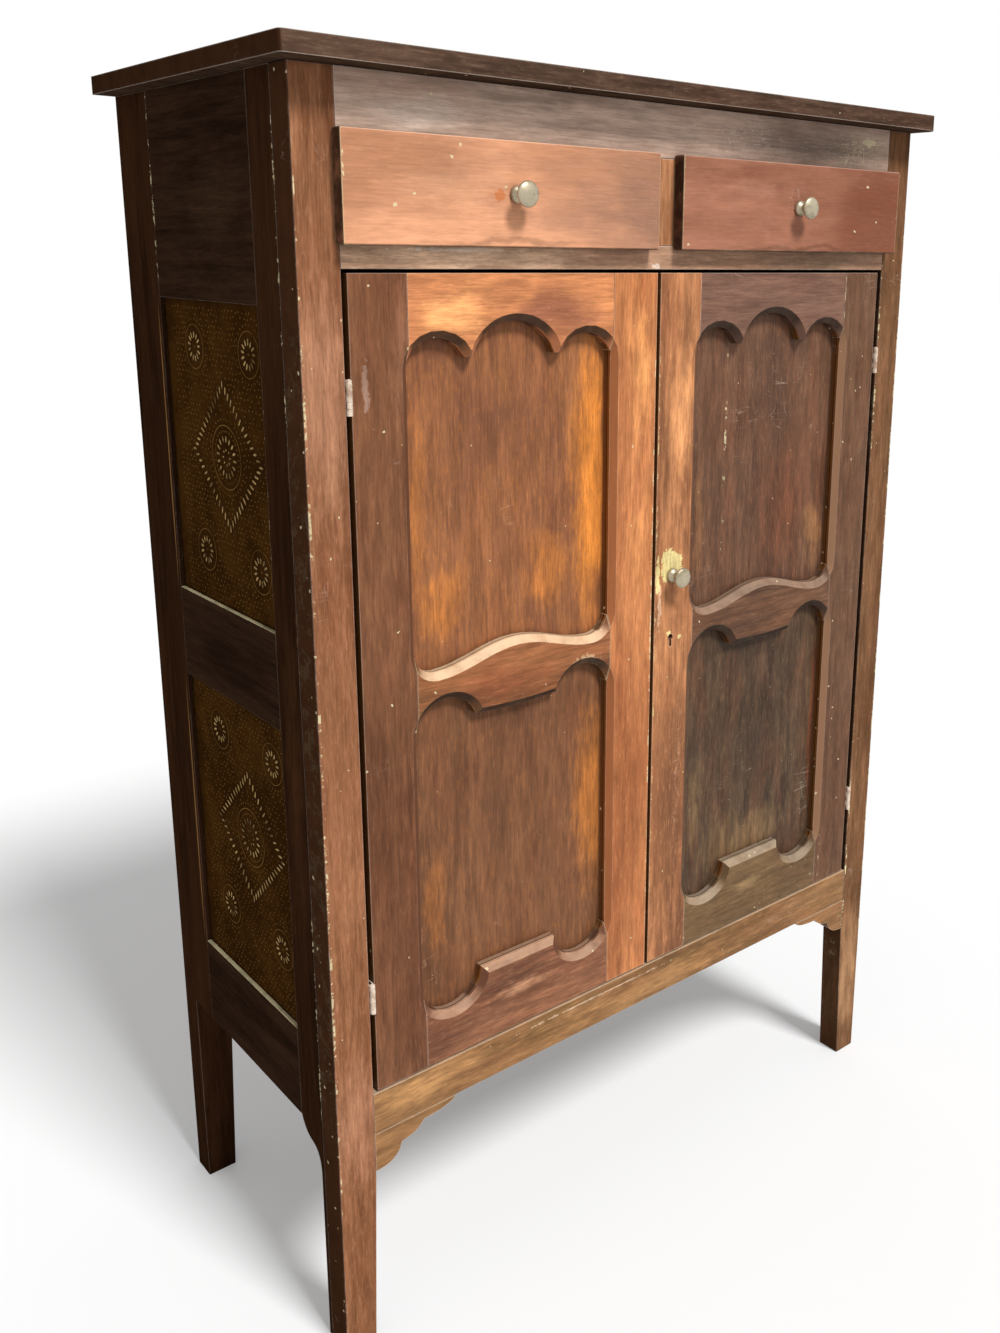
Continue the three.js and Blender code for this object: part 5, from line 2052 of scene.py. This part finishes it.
@dataclass
class Studio:
    """The floor, the light and the camera.

    Attributes:
        floor: How wide the floor is, in metres.
        tiles: How many faces it has along each side.
        grey: How light it is, from 0 to 255.
        glow: How much lighter the camera sees it.
        key: The strength of the sun.
        key_degrees: How wide the sun is.
        key_from: The direction that it shines from.
        fill: The strength of the surrounding light.
        lens: The camera's focal length, in millimetres.
        eye: Its place in the joiner's millimetres.
        turn: How it is tilted, rolled and turned, in radians.
        shift: How far its picture is shifted.
        nearest: The nearest that it sees, in metres.
    """

    floor: float = 60.0
    tiles: int = 24
    grey: int = 216
    glow: float = 0.2
    key: float = 3.3
    key_degrees: float = 15.0
    key_from: Point = (0.08, -1.0, 1.25)
    fill: float = 0.38
    lens: float = 33.836
    eye: Point = (-605.4, -1189.5, 1357.4)
    turn: Point = (-0.244, -0.014, -0.722)
    shift: tuple[float, float] = (-0.0915, -0.0772)
    nearest: float = 0.01

    def _floor(self) -> None:
        """Lays the floor."""
        mesh = bmesh.new()
        half = self.floor / 2
        places = [half * (2 * i / self.tiles - 1) for i in range(self.tiles + 1)]
        grid = [[mesh.verts.new((x, y, 0.0)) for x in places] for y in places]
        for low, high in zip(grid, grid[1:]):
            for i in range(self.tiles):
                mesh.faces.new((low[i], low[i + 1], high[i + 1], high[i]))
        data = bpy.data.meshes.new("studio_floor")
        mesh.to_mesh(data)
        mesh.free()
        grey = paint(self.grey, self.grey, self.grey)
        data.materials.append(StudioFinish("studio floor", grey, self.glow).build())
        floor = bpy.data.objects.new("studio_floor", data)
        bpy.context.scene.collection.objects.link(floor)
        log.info("laid the floor")

    def _light(self) -> None:
        """Hangs a broad key light at the front and the right, and sets the surrounding light."""
        lamp = bpy.data.lights.new("key", "SUN")
        lamp.energy = self.key
        lamp.angle = math.radians(self.key_degrees)
        key = bpy.data.objects.new("key", lamp)
        key.rotation_euler = Vector(self.key_from).to_track_quat("Z", "Y").to_euler()
        bpy.context.scene.collection.objects.link(key)
        world = bpy.data.worlds.new("studio")
        world.use_nodes = True
        bpy.context.scene.world = world
        w = Wiring(world.node_tree)
        back = world.node_tree.nodes["Background"]
        w.feed(back.inputs["Color"], (1.0, 1.0, 1.0))
        w.feed(back.inputs["Strength"],
               w.maths("MULTIPLY_ADD", w.seen(), 1.0 - self.fill, self.fill))
        log.info("hung the lights")

    def _camera(self) -> None:
        """Sets the camera where the photograph was taken from."""
        ax, ay, az = self.turn
        rotation = (Matrix.Rotation(az, 3, "Z") @ Matrix.Rotation(ax, 3, "X")
                    @ Matrix.Rotation(ay, 3, "Y"))
        right, ahead, above = rotation.col[0], rotation.col[1], rotation.col[2]
        data = bpy.data.cameras.new("camera")
        data.lens = self.lens
        data.shift_x, data.shift_y = self.shift
        data.clip_start = self.nearest
        camera = bpy.data.objects.new("camera", data)
        matrix = Matrix((right, above, -ahead)).transposed().to_4x4()
        matrix.translation = place(*self.eye)
        camera.matrix_world = matrix
        bpy.context.scene.collection.objects.link(camera)
        bpy.context.scene.camera = camera
        log.info("set the camera")

    def build(self) -> None:
        """Builds the whole studio."""
        self._floor()
        self._light()
        self._camera()


def corners(box: Iterable[Iterable[float]]) -> list[list[float]]:
    """Turns a box into plain lists of numbers."""
    return [[float(value) for value in corner] for corner in box]


def main() -> None:
    """Builds and dresses the whole safe in its studio."""
    logging.basicConfig(level=logging.INFO, format="%(message)s")
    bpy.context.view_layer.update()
    bpy.context.scene.view_settings.view_transform = "Standard"
    bench = Bench(frame["nodes"])
    Studio().build()
    CaseFrame().build(bench)
    Interior().build(bench)
    for side in Side:
        SideFrame(side).build(bench)
        Drawer(side).build(bench)
        Door(side).build(bench)
        Hinges(side).build(bench)
    Fastenings().build(bench)


if __name__ == "__main__":
    main()
